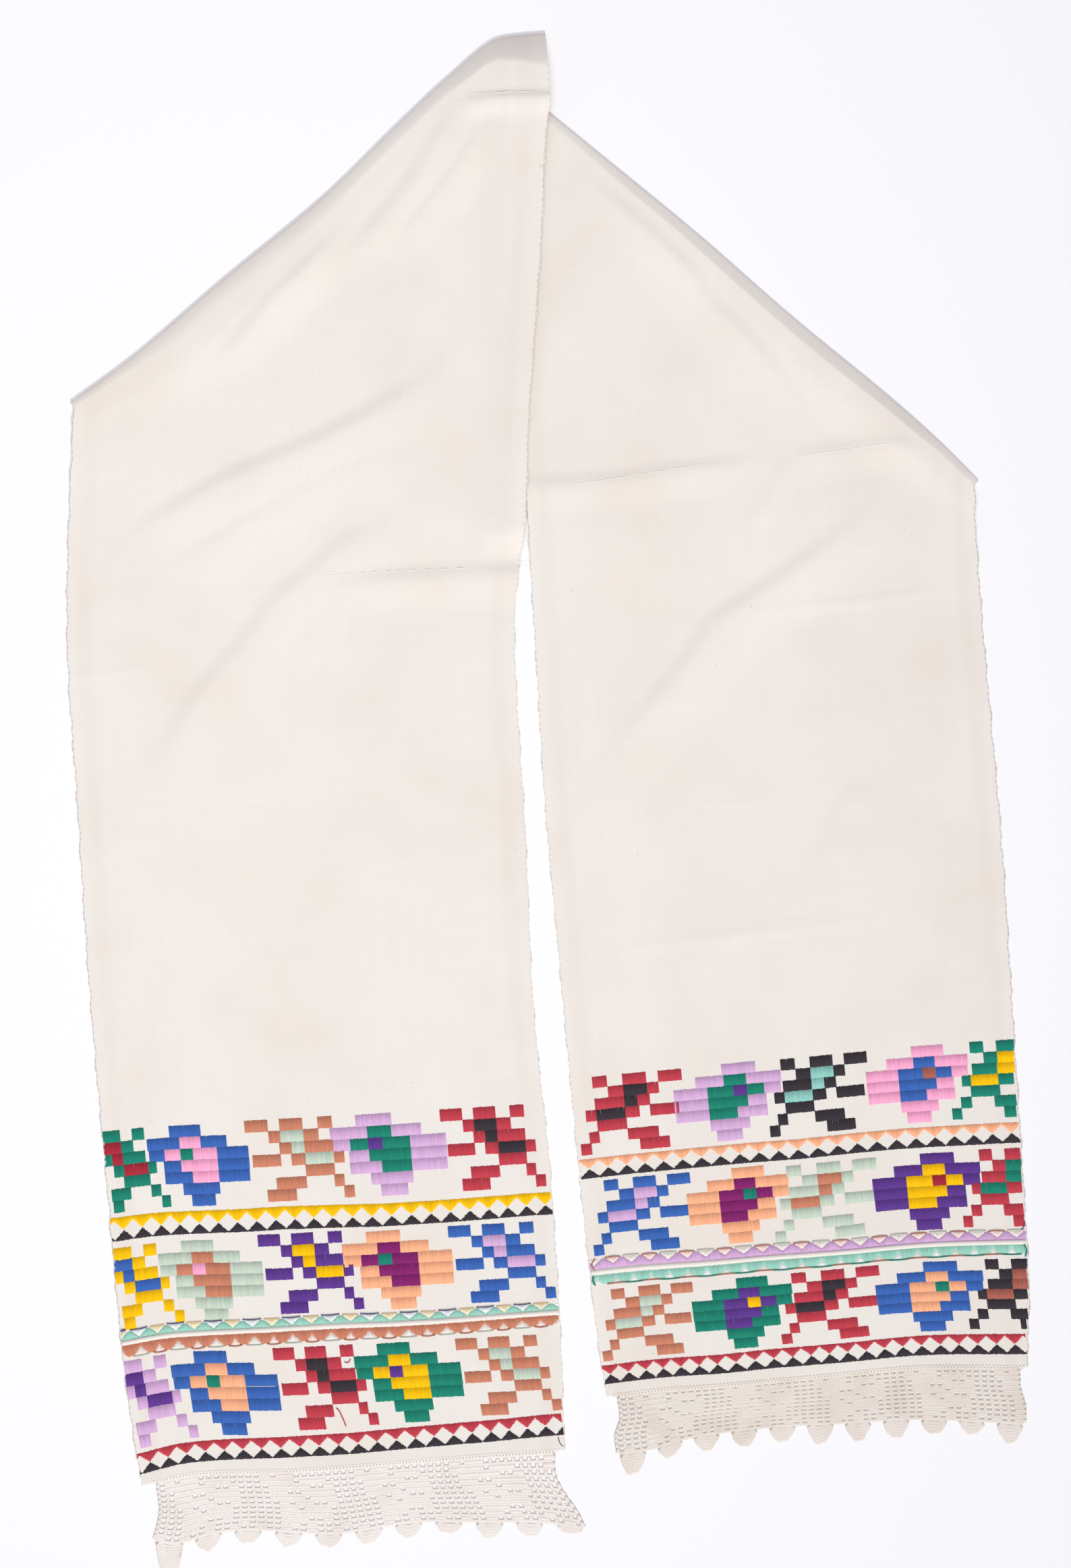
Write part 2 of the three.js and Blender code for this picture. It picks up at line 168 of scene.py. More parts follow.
# Rows of the mesh: even ones along each leg's straight part, a fan of them from there to its fold, then
# those down the fold's far side, round its thin edge and through the hidden middle
CELLS_ACROSS = 88
STRAIGHT_LENGTH = 380
STRAIGHT_STATIONS = 88
FAN_STATIONS = 160
FAN_TIGHTENING = 1.35
FAR_SIDE_STEPS = 10
EDGE_STEPS = 6
FOLD_EDGE = 0.7
FOLD_EDGE_START = math.pi / 6
MIDDLE_STATIONS = 16

# How the legs are carried by the hidden middle, and the left leg by the right one's edge
LAYER_STEP = 1.8
CARRY_PAST = 8
CARRY_RAMP = 90
OVERLAP_LIFT = 4.6
OVERLAP_END = 228
OVERLAP_FADE = 26
OVERLAP_X = -26
OVERLAP_RAMP = 36

# Relief of the face, and the turned hem
RIDGE_START = 24
RIDGE_TAPER = 0.3
RIPPLE_HEIGHT = 0.35
SMALL_RIPPLE = 0.6
HEM_DEPTH = 4.4
HEM_STEP = 1.5
HEM_LIFT = 0.35

# Edges of the two legs. Points: x, y.
LEFT_EDGES = {
    "outer": [(-319, -524), (-332, -439), (-347, -280), (-361, -121), (-370, 6), (-379, 133), (-379, 218),
              (-375, 326)],
    "inner": [(13, -496), (10, -407), (2, -280), (-11, -153), (-18, -10), (-27, 170), (-19, 250), (-17, 324),
              (-12, 404), (-7, 483), (-5, 547), (-3, 568), (-1, 586), (-2, 616)],
    "hem": [(-319, -524), (-280, -515), (-197, -512), (-82, -503), (13, -496)],
    "fold": [(-375, 326), (-327, 361), (-253, 424), (-176, 487.5), (-116, 546), (-77.5, 582), (-42, 610.5),
             (-25, 614), (-2, 616)],
}
RIGHT_EDGES = {
    "outer": [(376, -431), (378, -376), (373, -280), (365, -153), (355, 6), (344, 149), (339, 229),
              (338, 264.5)],
    "inner": [(46, -454), (39, -407), (25, -280), (13, -153), (-1, 6), (-10, 165), (-15, 255), (-20, 324),
              (-17, 430), (-12.5, 564)],
    "hem": [(376, -431), (292, -431), (215, -438), (139, -445), (87, -449), (46, -454)],
    "fold": [(338, 264.5), (308, 294.5), (270.5, 328), (191.5, 393), (119.5, 456), (44, 518), (-12.5, 564)],
}

# Fold rolls. Columns: share of the width from the outer edge, reach from the crest out to the outline,
# rise of the crest, length of the slope down to the leg, and the bend of the far side: 1 is straight,
# 2 is an arch.
LEFT_ROLL = [(0, 5, 2.6, 30, 1.6), (0.06, 6, 2.9, 40, 1.6), (0.22, 14, 4.4, 65, 1.9), (0.43, 15, 4.6, 80, 2),
             (0.62, 10, 4.3, 90, 1.4), (0.77, 10, 4.8, 100, 1.3), (0.87, 13, 7.2, 110, 1.15),
             (0.935, 21, 10.5, 115, 1.2), (1, 27, 12, 115, 1.25)]
RIGHT_ROLL = [(0, 5, 2.8, 30, 1.3), (0.05, 6, 3.6, 40, 1.2), (0.15, 8.5, 5.4, 55, 1.1),
              (0.31, 10, 5.6, 60, 1.1), (0.53, 9.5, 5.3, 60, 1.1), (0.74, 8, 4.2, 55, 1.15),
              (0.92, 6, 3, 40, 1.3), (1, 5, 2.6, 30, 1.5)]

# The hidden middle: the ends of its two fold lines and its lower edge. Points: x, y.
MIDDLE_LEFT = ((-369, 318), (-34, 562))
MIDDLE_RIGHT = ((332, 256), (-17, 559))
MIDDLE_EDGE = [(-369, 318), (-192, 276), (-15, 247), (163, 247), (332, 256)]

# Soft ridges, steep on the side away from the lace and gentle toward it. Columns: crest height, half
# width above the crest line and below it, points x, y of the line.
LEFT_RIDGES = [
    (2, 15, 50, [(-60, 372), (-98, 337), (-140, 313), (-183, 291), (-239, 268), (-281, 246), (-317, 224),
                 (-345, 190)]),
    (1.2, 13, 35, [(-90, 325), (-127, 286), (-189, 261), (-238, 230), (-294, 199), (-320, 180)]),
    (1.6, 16, 45, [(-90, 246), (-133, 222), (-160, 211), (-181, 191), (-209, 171), (-225, 147), (-242, 127),
                   (-270, 96), (-291, 61), (-308, 31), (-318, 5)]),
    (0.6, 10, 25, [(-150, 183), (-185, 151), (-200, 118), (-205, 100)]),
    (1.7, 14, 30, [(-66, 562), (-101, 502), (-132, 462), (-160, 430)]),
    (1.3, 12, 30, [(-36, 556), (-70, 511), (-109, 462), (-135, 432)]),
    (1.4, 12, 30, [(-150, 468), (-185, 433), (-215, 405), (-244, 369), (-262, 345)]),
    (1.7, 7, 32, [(-235, 179), (-139, 188), (-24, 193), (95, 197)]),
    (1.9, 7, 18, [(-80, 562), (-35, 563.5), (35, 563.5)]),
]
RIGHT_RIDGES = [
    (1.9, 13, 45, [(275, 254), (220, 212), (178, 181), (134, 153), (100, 106), (66, 67), (36, 26)]),
    (1.4, 10, 26, [(-60, 256), (56, 264), (98, 271), (146, 277), (165, 282), (178, 298)]),
    (1.1, 9, 24, [(176, 281), (196, 284), (277, 294), (330, 300)]),
    (0.9, 9, 16, [(190, 290), (178, 260), (168, 240), (160, 222)]),
    (1.8, 15, 36, [(0, 520), (64, 472), (106, 430), (126, 399), (151, 377), (174, 349), (193, 321),
                   (215, 290)]),
    (1, 12, 24, [(250, 34), (229, 0), (221, -45)]),
]

# Faint creases, finer than the ridges. Columns as above.
LEFT_CREASES = [
    (0.35, 5, 5, [(-200, 200), (-197, 77), (-195, 34), (-190, -70)]),
    (0.35, 5, 5, [(-400, 110), (-290, 118)]),
]
RIGHT_CREASES = [
    (0.45, 5, 5, [(157, 262), (165, 187), (166, 148), (170, 92), (179, -9), (184, -85), (191, -165)]),
    (0.45, 6, 6, [(30, -105), (134, -95), (184, -88), (275, -78)]),
    (0.35, 6, 6, [(150, 161), (257, 171), (345, 186)]),
]


def smooth(value):
    """A soft step from 0 to 1."""
    value = np.clip(value, 0, 1)
    return value * value * (3 - 2 * value)


def mix(start, end, share):
    """Between two values, or between two points, by an array of shares."""
    start, end, share = np.asarray(start), np.asarray(end), np.asarray(share)
    if start.shape[-1:] == end.shape[-1:] and start.shape[-1:] in ((2,), (3,)):
        share = share[..., None]
    return start * (1 - share) + end * share


def read_table(table, value, column):
    """A column of a table at values of its first column, with soft steps between the rows."""
    rows = np.array(table, float)
    after = np.clip(np.searchsorted(rows[:, 0], value), 1, len(rows) - 1)
    before = after - 1
    share = smooth((value - rows[before, 0]) / (rows[after, 0] - rows[before, 0]))
    return rows[before, column] + (rows[after, column] - rows[before, column]) * share


def run_along(points):
    """How far along a line of points each of them lies."""
    spans = np.linalg.norm(np.diff(points, axis=0), axis=-1)
    return np.concatenate([np.zeros_like(spans[:1]), np.cumsum(spans, axis=0)])


def read_line(points, distances, places):
    """Points at places along a line, from its points and their distances along it."""
    return np.stack([np.interp(places, distances, axis) for axis in points.T], -1)


class SoftLine:
    """A soft curve through given points, read by the distance along it."""

    STEPS = 48

    def __init__(self, points):
        points = np.array(points, float)
        points = np.vstack([2 * points[0] - points[1], points, 2 * points[-1] - points[-2]])
        steps = np.linspace(0, 1, self.STEPS, endpoint=False)[:, None]
        stretches = []
        for before, start, end, after in zip(points, points[1:], points[2:], points[3:]):
            gap_in, gap, gap_out = (np.linalg.norm(b - a) ** 0.5
                                    for a, b in ((before, start), (start, end), (end, after)))
            span = end - start
            leave = gap * ((start - before) / gap_in - (end - before) / (gap_in + gap) + span / gap)
            arrive = gap * (span / gap - (after - start) / (gap + gap_out) + (after - end) / gap_out)
            stretches.append(start + leave * steps + (3 * span - 2 * leave - arrive) * steps ** 2
                             + (leave + arrive - 2 * span) * steps ** 3)
        self.points = np.vstack(stretches + [points[-2:-1]])
        self.distances = run_along(self.points)
        self.length = self.distances[-1]

    def at(self, distance):
        """Points at an array of distances."""
        return read_line(self.points, self.distances, distance)

    def left_of(self, distance):
        """Unit vectors to the left of the line's direction."""
        ahead = self.at(np.minimum(distance + 1, self.length)) - self.at(np.maximum(distance - 1, 0))
        ahead /= np.linalg.norm(ahead, axis=-1, keepdims=True)
        return np.stack([-ahead[..., 1], ahead[..., 0]], -1)


def nearest_on(line, places):
    """How far each place x, y lies from a line of straight stretches, the share of the line's length
    there, and whether the place lies above the line."""
    nearest = np.full(places.shape[:-1], np.inf)
    nearest_run = np.zeros(places.shape[:-1])
    above = np.zeros(places.shape[:-1], bool)
    run = 0
    for start, end in zip(np.array(line, float), np.array(line[1:], float)):
        span = end - start
        share = np.clip((places - start) @ span / (span @ span), 0, 1)
        offset = places - start - share[..., None] * span
        distance = np.linalg.norm(offset, axis=-1)
        nearest_run = np.where(distance < nearest, run + share * np.linalg.norm(span), nearest_run)
        above = np.where(distance < nearest, offset[..., 1] > 0, above)
        nearest = np.minimum(nearest, distance)
        run += np.linalg.norm(span)
    return nearest, nearest_run / run, above


def ridge_heights(ridges, places):
    """The height of each ridge at each place, less toward the ridge's ends."""
    heights = []
    for crest, width_above, width_below, line in ridges:
        distance, share, above = nearest_on(line, places)
        taper = smooth(np.minimum(share, 1 - share) / RIDGE_TAPER)
        half_width = np.where(above, width_above, width_below)
        heights.append(crest * taper * (1 - smooth(distance / half_width)))
    return heights


def make_leg(edges, roll, ridges, creases, turn):
    """One leg of the strip; turn is +1 for the left leg, whose outer edge is its left one."""
    lines = {name: SoftLine(points) for name, points in edges.items()}
    return {**lines, "roll": roll, "ridges": ridges, "creases": creases, "turn": turn}


def rest_height(leg, places):
    """What a leg lies on: the hidden middle, and for the left leg the right one's edge as well."""
    x, y = places[..., 0], places[..., 1]
    middle_edge = read_table(MIDDLE_EDGE, np.clip(x, MIDDLE_EDGE[0][0], MIDDLE_EDGE[-1][0]), 1)
    carried = LAYER_STEP * (1 - smooth((middle_edge - y - CARRY_PAST) / CARRY_RAMP))
    if leg["turn"] < 0:
        return carried
    sideways = smooth((x - OVERLAP_X + OVERLAP_RAMP) / OVERLAP_RAMP)
    lengthways = smooth((y - OVERLAP_END + OVERLAP_FADE) / OVERLAP_FADE)
    return carried + OVERLAP_LIFT * sideways * lengthways


def ripple(places):
    """The slight unevenness of washed cloth on a table, never below it. No two of its wave lengths are
    alike, so that it has no pattern."""
    x, y = places[..., 0], places[..., 1]
    broad = np.sin(x / 23 + np.sin(y / 41)) * np.sin(y / 31 + 1.3 * np.sin(x / 57))
    small = np.sin(x / 11 + y / 37) * np.sin(y / 17 - x / 29)
    return RIPPLE_HEIGHT * (1 + (broad + SMALL_RIPPLE * small) / (1 + SMALL_RIPPLE))


def fold_crest(leg, across):
    """The crest line of a fold, inside the fold's outline, from which the leg turns under."""
    along = across * leg["fold"].length
    inward = leg["fold"].left_of(along) * -leg["turn"]
    return leg["fold"].at(along) + inward * read_table(leg["roll"], across, 1)[..., None]


def leg_points(leg, across, straight, fan):
    """Points of a leg's middle surface at shares of its width, its straight part and its fan."""
    across, straight, fan = np.broadcast_arrays(across, straight, fan)
    outer, inner = leg["outer"], leg["inner"]
    sides = [edge.at(STRAIGHT_LENGTH * straight + (edge.length - STRAIGHT_LENGTH) * fan)
             for edge in (outer, inner)]
    places = mix(sides[0], sides[1], across)
    hem_chord = mix(outer.at(0), inner.at(0), across)
    fold_chord = mix(outer.at(outer.length), inner.at(inner.length), across)
    places += (leg["hem"].at(across * leg["hem"].length) - hem_chord) * (1 - straight)[..., None]
    places += (fold_crest(leg, across) - fold_chord) * fan[..., None]

    length = outer.length + (inner.length - outer.length) * across
    from_fold = (length - STRAIGHT_LENGTH) * (1 - fan) + STRAIGHT_LENGTH * (1 - straight)
    slope = 1 - smooth(from_fold / read_table(leg["roll"], across, 3))
    rise = read_table(leg["roll"], across, 2)
    relief = np.maximum.reduce(ridge_heights(leg["ridges"], places))
    relief = relief + sum(ridge_heights(leg["creases"], places)) + ripple(places)
    height = rest_height(leg, places) * (1 - slope) + rise * slope
    height = height + CLOTH_THICKNESS / 2 + relief * smooth(from_fold / RIDGE_START)
    return np.concatenate([places, height[..., None]], -1)


def roll_points(leg, across, side, turned):
    """Points of a fold roll, down its far side and then round its thin edge to the table."""
    across, side, turned = np.broadcast_arrays(across, side, turned)
    reach, rise, bend = (read_table(leg["roll"], across, column) for column in (1, 2, 4))
    angle = mix(FOLD_EDGE_START, math.pi, turned)
    edge_out = 1 - FOLD_EDGE * (1 - np.sin(angle)) / reach
    edge_up = FOLD_EDGE * (1 + np.cos(angle))
    places = mix(fold_crest(leg, across), leg["fold"].at(across * leg["fold"].length), side * edge_out)
    height = CLOTH_THICKNESS / 2 + edge_up + (rise - edge_up) * (1 - side ** bend)
    return np.concatenate([places, height[..., None]], -1)


def middle_points(across, along):
    """Points of the hidden middle, flat on the table."""
    across, along = np.broadcast_arrays(across, along)
    edge = SoftLine(MIDDLE_EDGE)
    lines = np.array([MIDDLE_LEFT, MIDDLE_RIGHT], float)
    fold_sides = [mix(line[0], line[1], across) for line in lines]
    places = mix(fold_sides[0], fold_sides[1], along)
    chord = mix(lines[0, 0], lines[1, 0], along)
    places += (edge.at(along * edge.length) - chord) * (1 - across)[..., None]
    return np.concatenate([places, np.full(places.shape[:-1] + (1,), CLOTH_THICKNESS / 2)], -1)


def add_piece(name, points, faces, material, uv=None, tones=None):
    """A smooth mesh piece from points in millimetres, placed in the towel's frame."""
    mesh = bpy.data.meshes.new(name)
    mesh.from_pydata((np.asarray(points).reshape(-1, 3) + frame_shift) * MM, [], faces)
    mesh.polygons.foreach_set("use_smooth", np.ones(len(mesh.polygons), bool))
    mesh.materials.append(material)
    if uv is not None:
        corners = np.empty(len(mesh.loops), np.int32)
        mesh.loops.foreach_get("vertex_index", corners)
        threads = mesh.uv_layers.new(name="threads")
        threads.data.foreach_set("uv", (uv[corners] * MM).astype(np.float32).ravel())
    if tones is not None:
        tone = mesh.attributes.new("tone", "FLOAT", "POINT")
        tone.data.foreach_set("value", tones.astype(np.float32))
    piece = bpy.data.objects.new(name, mesh)
    bpy.context.scene.collection.objects.link(piece)
    return piece


def grid_faces(rows, columns):
    """Four-cornered faces of a grid of points, counted row by row."""
    first = (np.arange(rows - 1)[:, None] * columns + np.arange(columns - 1)).ravel()
    return np.stack([first, first + 1, first + columns + 1, first + columns], -1)


def closed_sheet(grid, lift):
    """Points and faces of a closed sheet round a grid of points, its face raised by lift."""
    along = np.gradient(grid, axis=0)
    across = np.gradient(grid, axis=1)
    normals = np.cross(across, along)
    normals /= np.linalg.norm(normals, axis=-1, keepdims=True)
    rows, columns = grid.shape[:2]
    count = rows * columns
    face = grid + normals * (CLOTH_THICKNESS / 2 + lift)[..., None]
    back = grid - normals * CLOTH_THICKNESS / 2
    quads = grid_faces(rows, columns)
    index = np.arange(count).reshape(rows, columns)
    rim = np.concatenate([index[0, :-1], index[:-1, -1], index[-1, :0:-1], index[:0:-1, 0]])
    rim_next = np.roll(rim, -1)
    rim_faces = np.stack([rim, rim + count, rim_next + count, rim_next], -1)
    faces = np.concatenate([quads, quads[:, ::-1] + count, rim_faces])
    return np.concatenate([face.reshape(-1, 3), back.reshape(-1, 3)]), faces


left_leg = make_leg(LEFT_EDGES, LEFT_ROLL, LEFT_RIDGES, LEFT_CREASES, 1)
right_leg = make_leg(RIGHT_EDGES, RIGHT_ROLL, RIGHT_RIDGES, RIGHT_CREASES, -1)

width_shares = np.linspace(0, 1, CELLS_ACROSS + 1)[None, :]
straight_steps = np.linspace(0, 1, STRAIGHT_STATIONS + 1)
straight_shares = np.concatenate([straight_steps, np.ones(FAN_STATIONS)])[:, None]
fan_steps = 1 - (1 - np.linspace(0, 1, FAN_STATIONS + 1)[1:]) ** FAN_TIGHTENING
fan_shares = np.concatenate([np.zeros(STRAIGHT_STATIONS + 1), fan_steps])[:, None]
side_shares = np.concatenate([np.linspace(0, 1, FAR_SIDE_STEPS + 1)[1:], np.ones(EDGE_STEPS)])[:, None]
turn_shares = np.concatenate([np.zeros(FAR_SIDE_STEPS), np.linspace(0, 1, EDGE_STEPS + 1)[1:]])[:, None]
middle_shares = np.linspace(0, 1, MIDDLE_STATIONS + 1)[:, None]

left_rows = leg_points(left_leg, width_shares, straight_shares, fan_shares)
right_rows = leg_points(right_leg, width_shares, straight_shares, fan_shares)
strip = np.concatenate([
    left_rows,
    roll_points(left_leg, width_shares, side_shares, turn_shares),
    middle_points(width_shares, middle_shares),
    roll_points(right_leg, width_shares, side_shares, turn_shares)[::-1],
    right_rows[::-1],
])

hem_lift = HEM_LIFT * (1 - smooth((STRAIGHT_LENGTH * straight_shares - HEM_DEPTH) / HEM_STEP))
strip_lift = np.zeros(strip.shape[:2])
strip_lift[:len(left_rows)] += hem_lift
strip_lift[-len(right_rows):] += hem_lift[::-1]
strip_points, strip_faces = closed_sheet(strip, strip_lift)

thread_run = run_along(strip)
strip_uv = np.stack([np.broadcast_to(width_shares * CLOTH_WIDTH, thread_run.shape), thread_run], -1)
strip_uv = np.tile(strip_uv.reshape(-1, 2), (2, 1))

cloth_box = np.array(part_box("cloth")) / MM
frame_shift = np.array([*(cloth_box.mean(0) - (strip_points.min(0) + strip_points.max(0)) / 2)[:2], 0])

# Plain-woven homespun cotton: matte and creamy, with uneven threads that show as a faint grain, a few
# brown specks of seed husk, faint age marks, and a warmer stripe along both selvedges.
# The threads are drawn 1.5 mm apart, coarser than the real 0.7 mm, so that they show.
THREAD_PITCH = 1.5
STREAK_WIDTH = 3
STREAK_LENGTH = 90
SPECK_SPACING = 30
SPECK_RADIUS = 0.5
STAIN_SIZE = 110
STRIPE_PLACE = 13
STRIPE_HALF_WIDTH = 10
PALE_THREAD = "#F4EFE8"
WARM_THREAD = "#EDE5DB"
STAIN_COLOUR = "#ECE1D3"
STRIPE_COLOUR = "#E8DCD2"
HUSK_COLOUR = "#A8917C"

# A wave texture turns through this angle in one unit of its scale
WAVE_RADIANS = 20

cotton, tree, shader = new_material("homespun_cotton")
threads_uv = add_node(tree, "ShaderNodeUVMap", uv_map="threads").outputs["UV"]
thread_scale = 2 * math.pi / WAVE_RADIANS / (THREAD_PITCH * MM)
warp, weft = [
    add_node(tree, "ShaderNodeTexWave", {"Vector": threads_uv, "Scale": thread_scale, "Distortion": 1.2,
                                         "Detail": 2.0, "Detail Scale": 0.6}, bands_direction=direction)
    for direction in "XY"]
grain = add_node(tree, "ShaderNodeMath", {0: warp.outputs["Fac"], 1: weft.outputs["Fac"]}, operation="ADD")
bump = add_node(
    tree, "ShaderNodeBump", {"Strength": 0.13, "Distance": 0.3 * MM, "Height": grain.outputs[0]})
streaks = []
for sizes in ((STREAK_WIDTH, STREAK_LENGTH), (STREAK_LENGTH, STREAK_WIDTH)):
    scaled = add_node(
        tree, "ShaderNodeVectorMath", {0: threads_uv, 1: (1 / (sizes[0] * MM), 1 / (sizes[1] * MM), 1)},
        operation="MULTIPLY")
    streaks.append(add_node(
        tree, "ShaderNodeTexNoise", {"Vector": scaled.outputs[0], "Scale": 1.0, "Detail": 4.0}))
both_streaks = add_node(
    tree, "ShaderNodeMath", {0: streaks[0].outputs["Fac"], 1: streaks[1].outputs["Fac"]}, operation="ADD")
streak_share = add_node(tree, "ShaderNodeMapRange", {"Value": both_streaks.outputs[0], "From Min": 0.75,
                                                     "From Max": 1.35, "To Min": 0.0, "To Max": 0.3})
threads_colour = add_node(
    tree, "ShaderNodeMix", {0: streak_share.outputs[0], 6: linear(PALE_THREAD), 7: linear(WARM_THREAD)},
    data_type="RGBA")
stains = add_node(tree, "ShaderNodeTexNoise", {"Vector": threads_uv, "Scale": 1 / (STAIN_SIZE * MM),
                                               "Detail": 3.0})
stain_share = add_node(tree, "ShaderNodeMapRange", {"Value": stains.outputs["Fac"], "From Min": 0.45,
                                                    "From Max": 0.75, "To Min": 0.0, "To Max": 0.5})
stained = add_node(
    tree, "ShaderNodeMix",
    {0: stain_share.outputs[0], 6: threads_colour.outputs[2], 7: linear(STAIN_COLOUR)}, data_type="RGBA")
across = add_node(tree, "ShaderNodeSeparateXYZ", {"Vector": threads_uv}).outputs["X"]
off_middle = add_node(tree, "ShaderNodeMath", {0: across, 1: CLOTH_WIDTH / 2 * MM}, operation="SUBTRACT")
from_middle = add_node(tree, "ShaderNodeMath", {0: off_middle.outputs[0]}, operation="ABSOLUTE")
off_stripe = add_node(
    tree, "ShaderNodeMath", {0: from_middle.outputs[0], 1: (CLOTH_WIDTH / 2 - STRIPE_PLACE) * MM},
    operation="SUBTRACT")
stripe_distance = add_node(tree, "ShaderNodeMath", {0: off_stripe.outputs[0]}, operation="ABSOLUTE")
stripe_share = add_node(
    tree, "ShaderNodeMapRange", {"Value": stripe_distance.outputs[0], "From Min": 0.0,
                                 "From Max": STRIPE_HALF_WIDTH * MM, "To Min": 0.24, "To Max": 0.0},
    interpolation_type="SMOOTHSTEP")
striped = add_node(
    tree, "ShaderNodeMix", {0: stripe_share.outputs[0], 6: stained.outputs[2], 7: linear(STRIPE_COLOUR)},
    data_type="RGBA")
husks = add_node(tree, "ShaderNodeTexVoronoi", {"Vector": threads_uv, "Scale": 1 / (SPECK_SPACING * MM)})
speck_share = add_node(
    tree, "ShaderNodeMapRange",
    {"Value": husks.outputs["Distance"], "From Min": 0.6 * SPECK_RADIUS / SPECK_SPACING,
     "From Max": 1.4 * SPECK_RADIUS / SPECK_SPACING, "To Min": 0.55, "To Max": 0.0})
specked = add_node(
    tree, "ShaderNodeMix", {0: speck_share.outputs[0], 6: striped.outputs[2], 7: linear(HUSK_COLOUR)},
    data_type="RGBA")
tree.links.new(specked.outputs[2], shader.inputs["Base Color"])
tree.links.new(bump.outputs[0], shader.inputs["Normal"])
shader.inputs["Roughness"].default_value = 0.92
shader.inputs["Specular IOR Level"].default_value = 0.2
shader.inputs["Sheen Weight"].default_value = 0.06

cloth = add_piece("cloth_strip", strip_points, strip_faces, cotton, uv=strip_uv)
cloth.data.set_sharp_from_angle(angle=math.radians(SHARP_ANGLE))
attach(cloth, "root")
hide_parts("cloth")


# Selvedges: the strip's long edges, where the weft yarn turns back in small uneven loops.
# They are of the cloth's own cotton, packed thicker than the weave beside them, and the one that lies
# outside on both legs is coloured greyer, a painted shade along the outer edges.
SELVEDGE_RADIUS = 0.1
LOOP_SWELL = 0.45
LOOP_PITCH = 5.2
SELVEDGE_STEP = 0.65
SELVEDGE_LIFT = 0.4
SELVEDGE_WANDER = 0.45
SHORT_WANDER = 2.6
MIDDLE_WANDER = 6.7
LONG_WANDER = 23
WANDER_DRIFT = 3
LOOP_DRIFT = 2
LOOP_DRIFT_LENGTH = 37
# Painted shade along the outer selvedges
EDGE_SHADE_COLOUR = "#DBD5D3"


def tubes(lines, radius, sides=6, flatten=1.0):
    """Points and faces of closed round strands along an array of lines, all with as many points."""
    lines = np.asarray(lines, float)
    count, steps = lines.shape[:2]
    radius = np.broadcast_to(radius, (count, steps))[..., None, None]
    along = np.gradient(lines, axis=1)
    along /= np.linalg.norm(along, axis=-1, keepdims=True)
    sideways = np.cross(along, (0, 0, 1))
    sideways /= np.linalg.norm(sideways, axis=-1, keepdims=True)
    upward = np.cross(sideways, along)
    angle = 2 * math.pi * np.arange(sides)[:, None] / sides
    rings = lines[:, :, None] + radius * (
        np.cos(angle) * sideways[:, :, None] + flatten * np.sin(angle) * upward[:, :, None])
    index = np.arange(count * steps * sides).reshape(count, steps, sides)
    turned = np.roll(index, -1, axis=2)
    walls = np.stack([index[:, :-1], index[:, 1:], turned[:, 1:], turned[:, :-1]], -1).reshape(-1, 4)
    ends = np.concatenate([index[:, 0], index[:, -1, ::-1]])
    return rings.reshape(-1, 3), walls.tolist() + ends.tolist()


def joined(meshes):
    """Several sets of points and faces as one."""
    points, faces, start = [], [], 0
    for some_points, some_faces in meshes:
        points.append(some_points)
        faces.extend([[corner + start for corner in face] for face in some_faces])
        start += len(some_points)
    return np.concatenate(points), faces


def selvedge(rows, column):
    """One leg's edge as a beaded strand."""
    edge = rows[:, column]
    run = run_along(edge)
    places = np.arange(0, run[-1], SELVEDGE_STEP)
    line = read_line(edge, run, places)
    drift = WANDER_DRIFT * np.sin(places / LONG_WANDER)
    line[:, 0] += SELVEDGE_WANDER * (np.sin(places / SHORT_WANDER + drift) + np.sin(places / MIDDLE_WANDER))
    line[:, 2] += SELVEDGE_LIFT
    turn = math.pi * places / LOOP_PITCH + LOOP_DRIFT * np.sin(places / LOOP_DRIFT_LENGTH)
    return tubes(line[None], SELVEDGE_RADIUS + LOOP_SWELL * np.abs(np.sin(turn))[None])


# Selvedge cotton: the same matte yarn, coloured a shade greyer than the cloth as painted shade on the outer
# edges
painted_shade_cotton, _, shader = new_material("selvedge_cotton_painted_shade")
shader.inputs["Base Color"].default_value = linear(EDGE_SHADE_COLOUR)
shader.inputs["Roughness"].default_value = 0.92
shader.inputs["Specular IOR Level"].default_value = 0.2

# The outer selvedges carry the painted shade; the inner ones are of the cloth's own cotton
for name, column, material in (("outer_selvedge", 0, painted_shade_cotton), ("inner_selvedge", -1, cotton)):
    strands = joined([selvedge(rows, column) for rows in (left_rows, right_rows)])
    piece = add_piece(name, *strands, material)
    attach(piece, "root")


# Pressed creases: sharp lines left in the cloth from lying folded in store.
# They are the cloth's own cotton, standing up a little from the weave.
CREASE_FLATTEN = 0.6
CREASE_SINK = 0.1
CREASE_STEP = 2
CREASE_TAPER = 0.25
CREASE_LEAST = 0.15
CREASE_NEIGHBOURS = 4

# Columns: leg, greatest half width, points x, y
PRESSED = [
    (left_rows, 0.4, [(-215, 187), (-139, 193), (-24, 198), (-10, 198.5)]),
    (left_rows, 0.5, [(-70, 567), (-35, 568), (-3, 568)]),
    (right_rows, 0.5, [(-10, 256.8), (98, 274), (150, 282)]),
    (right_rows, 0.45, [(176, 281), (225, 288), (277, 295), (292, 297)]),
]


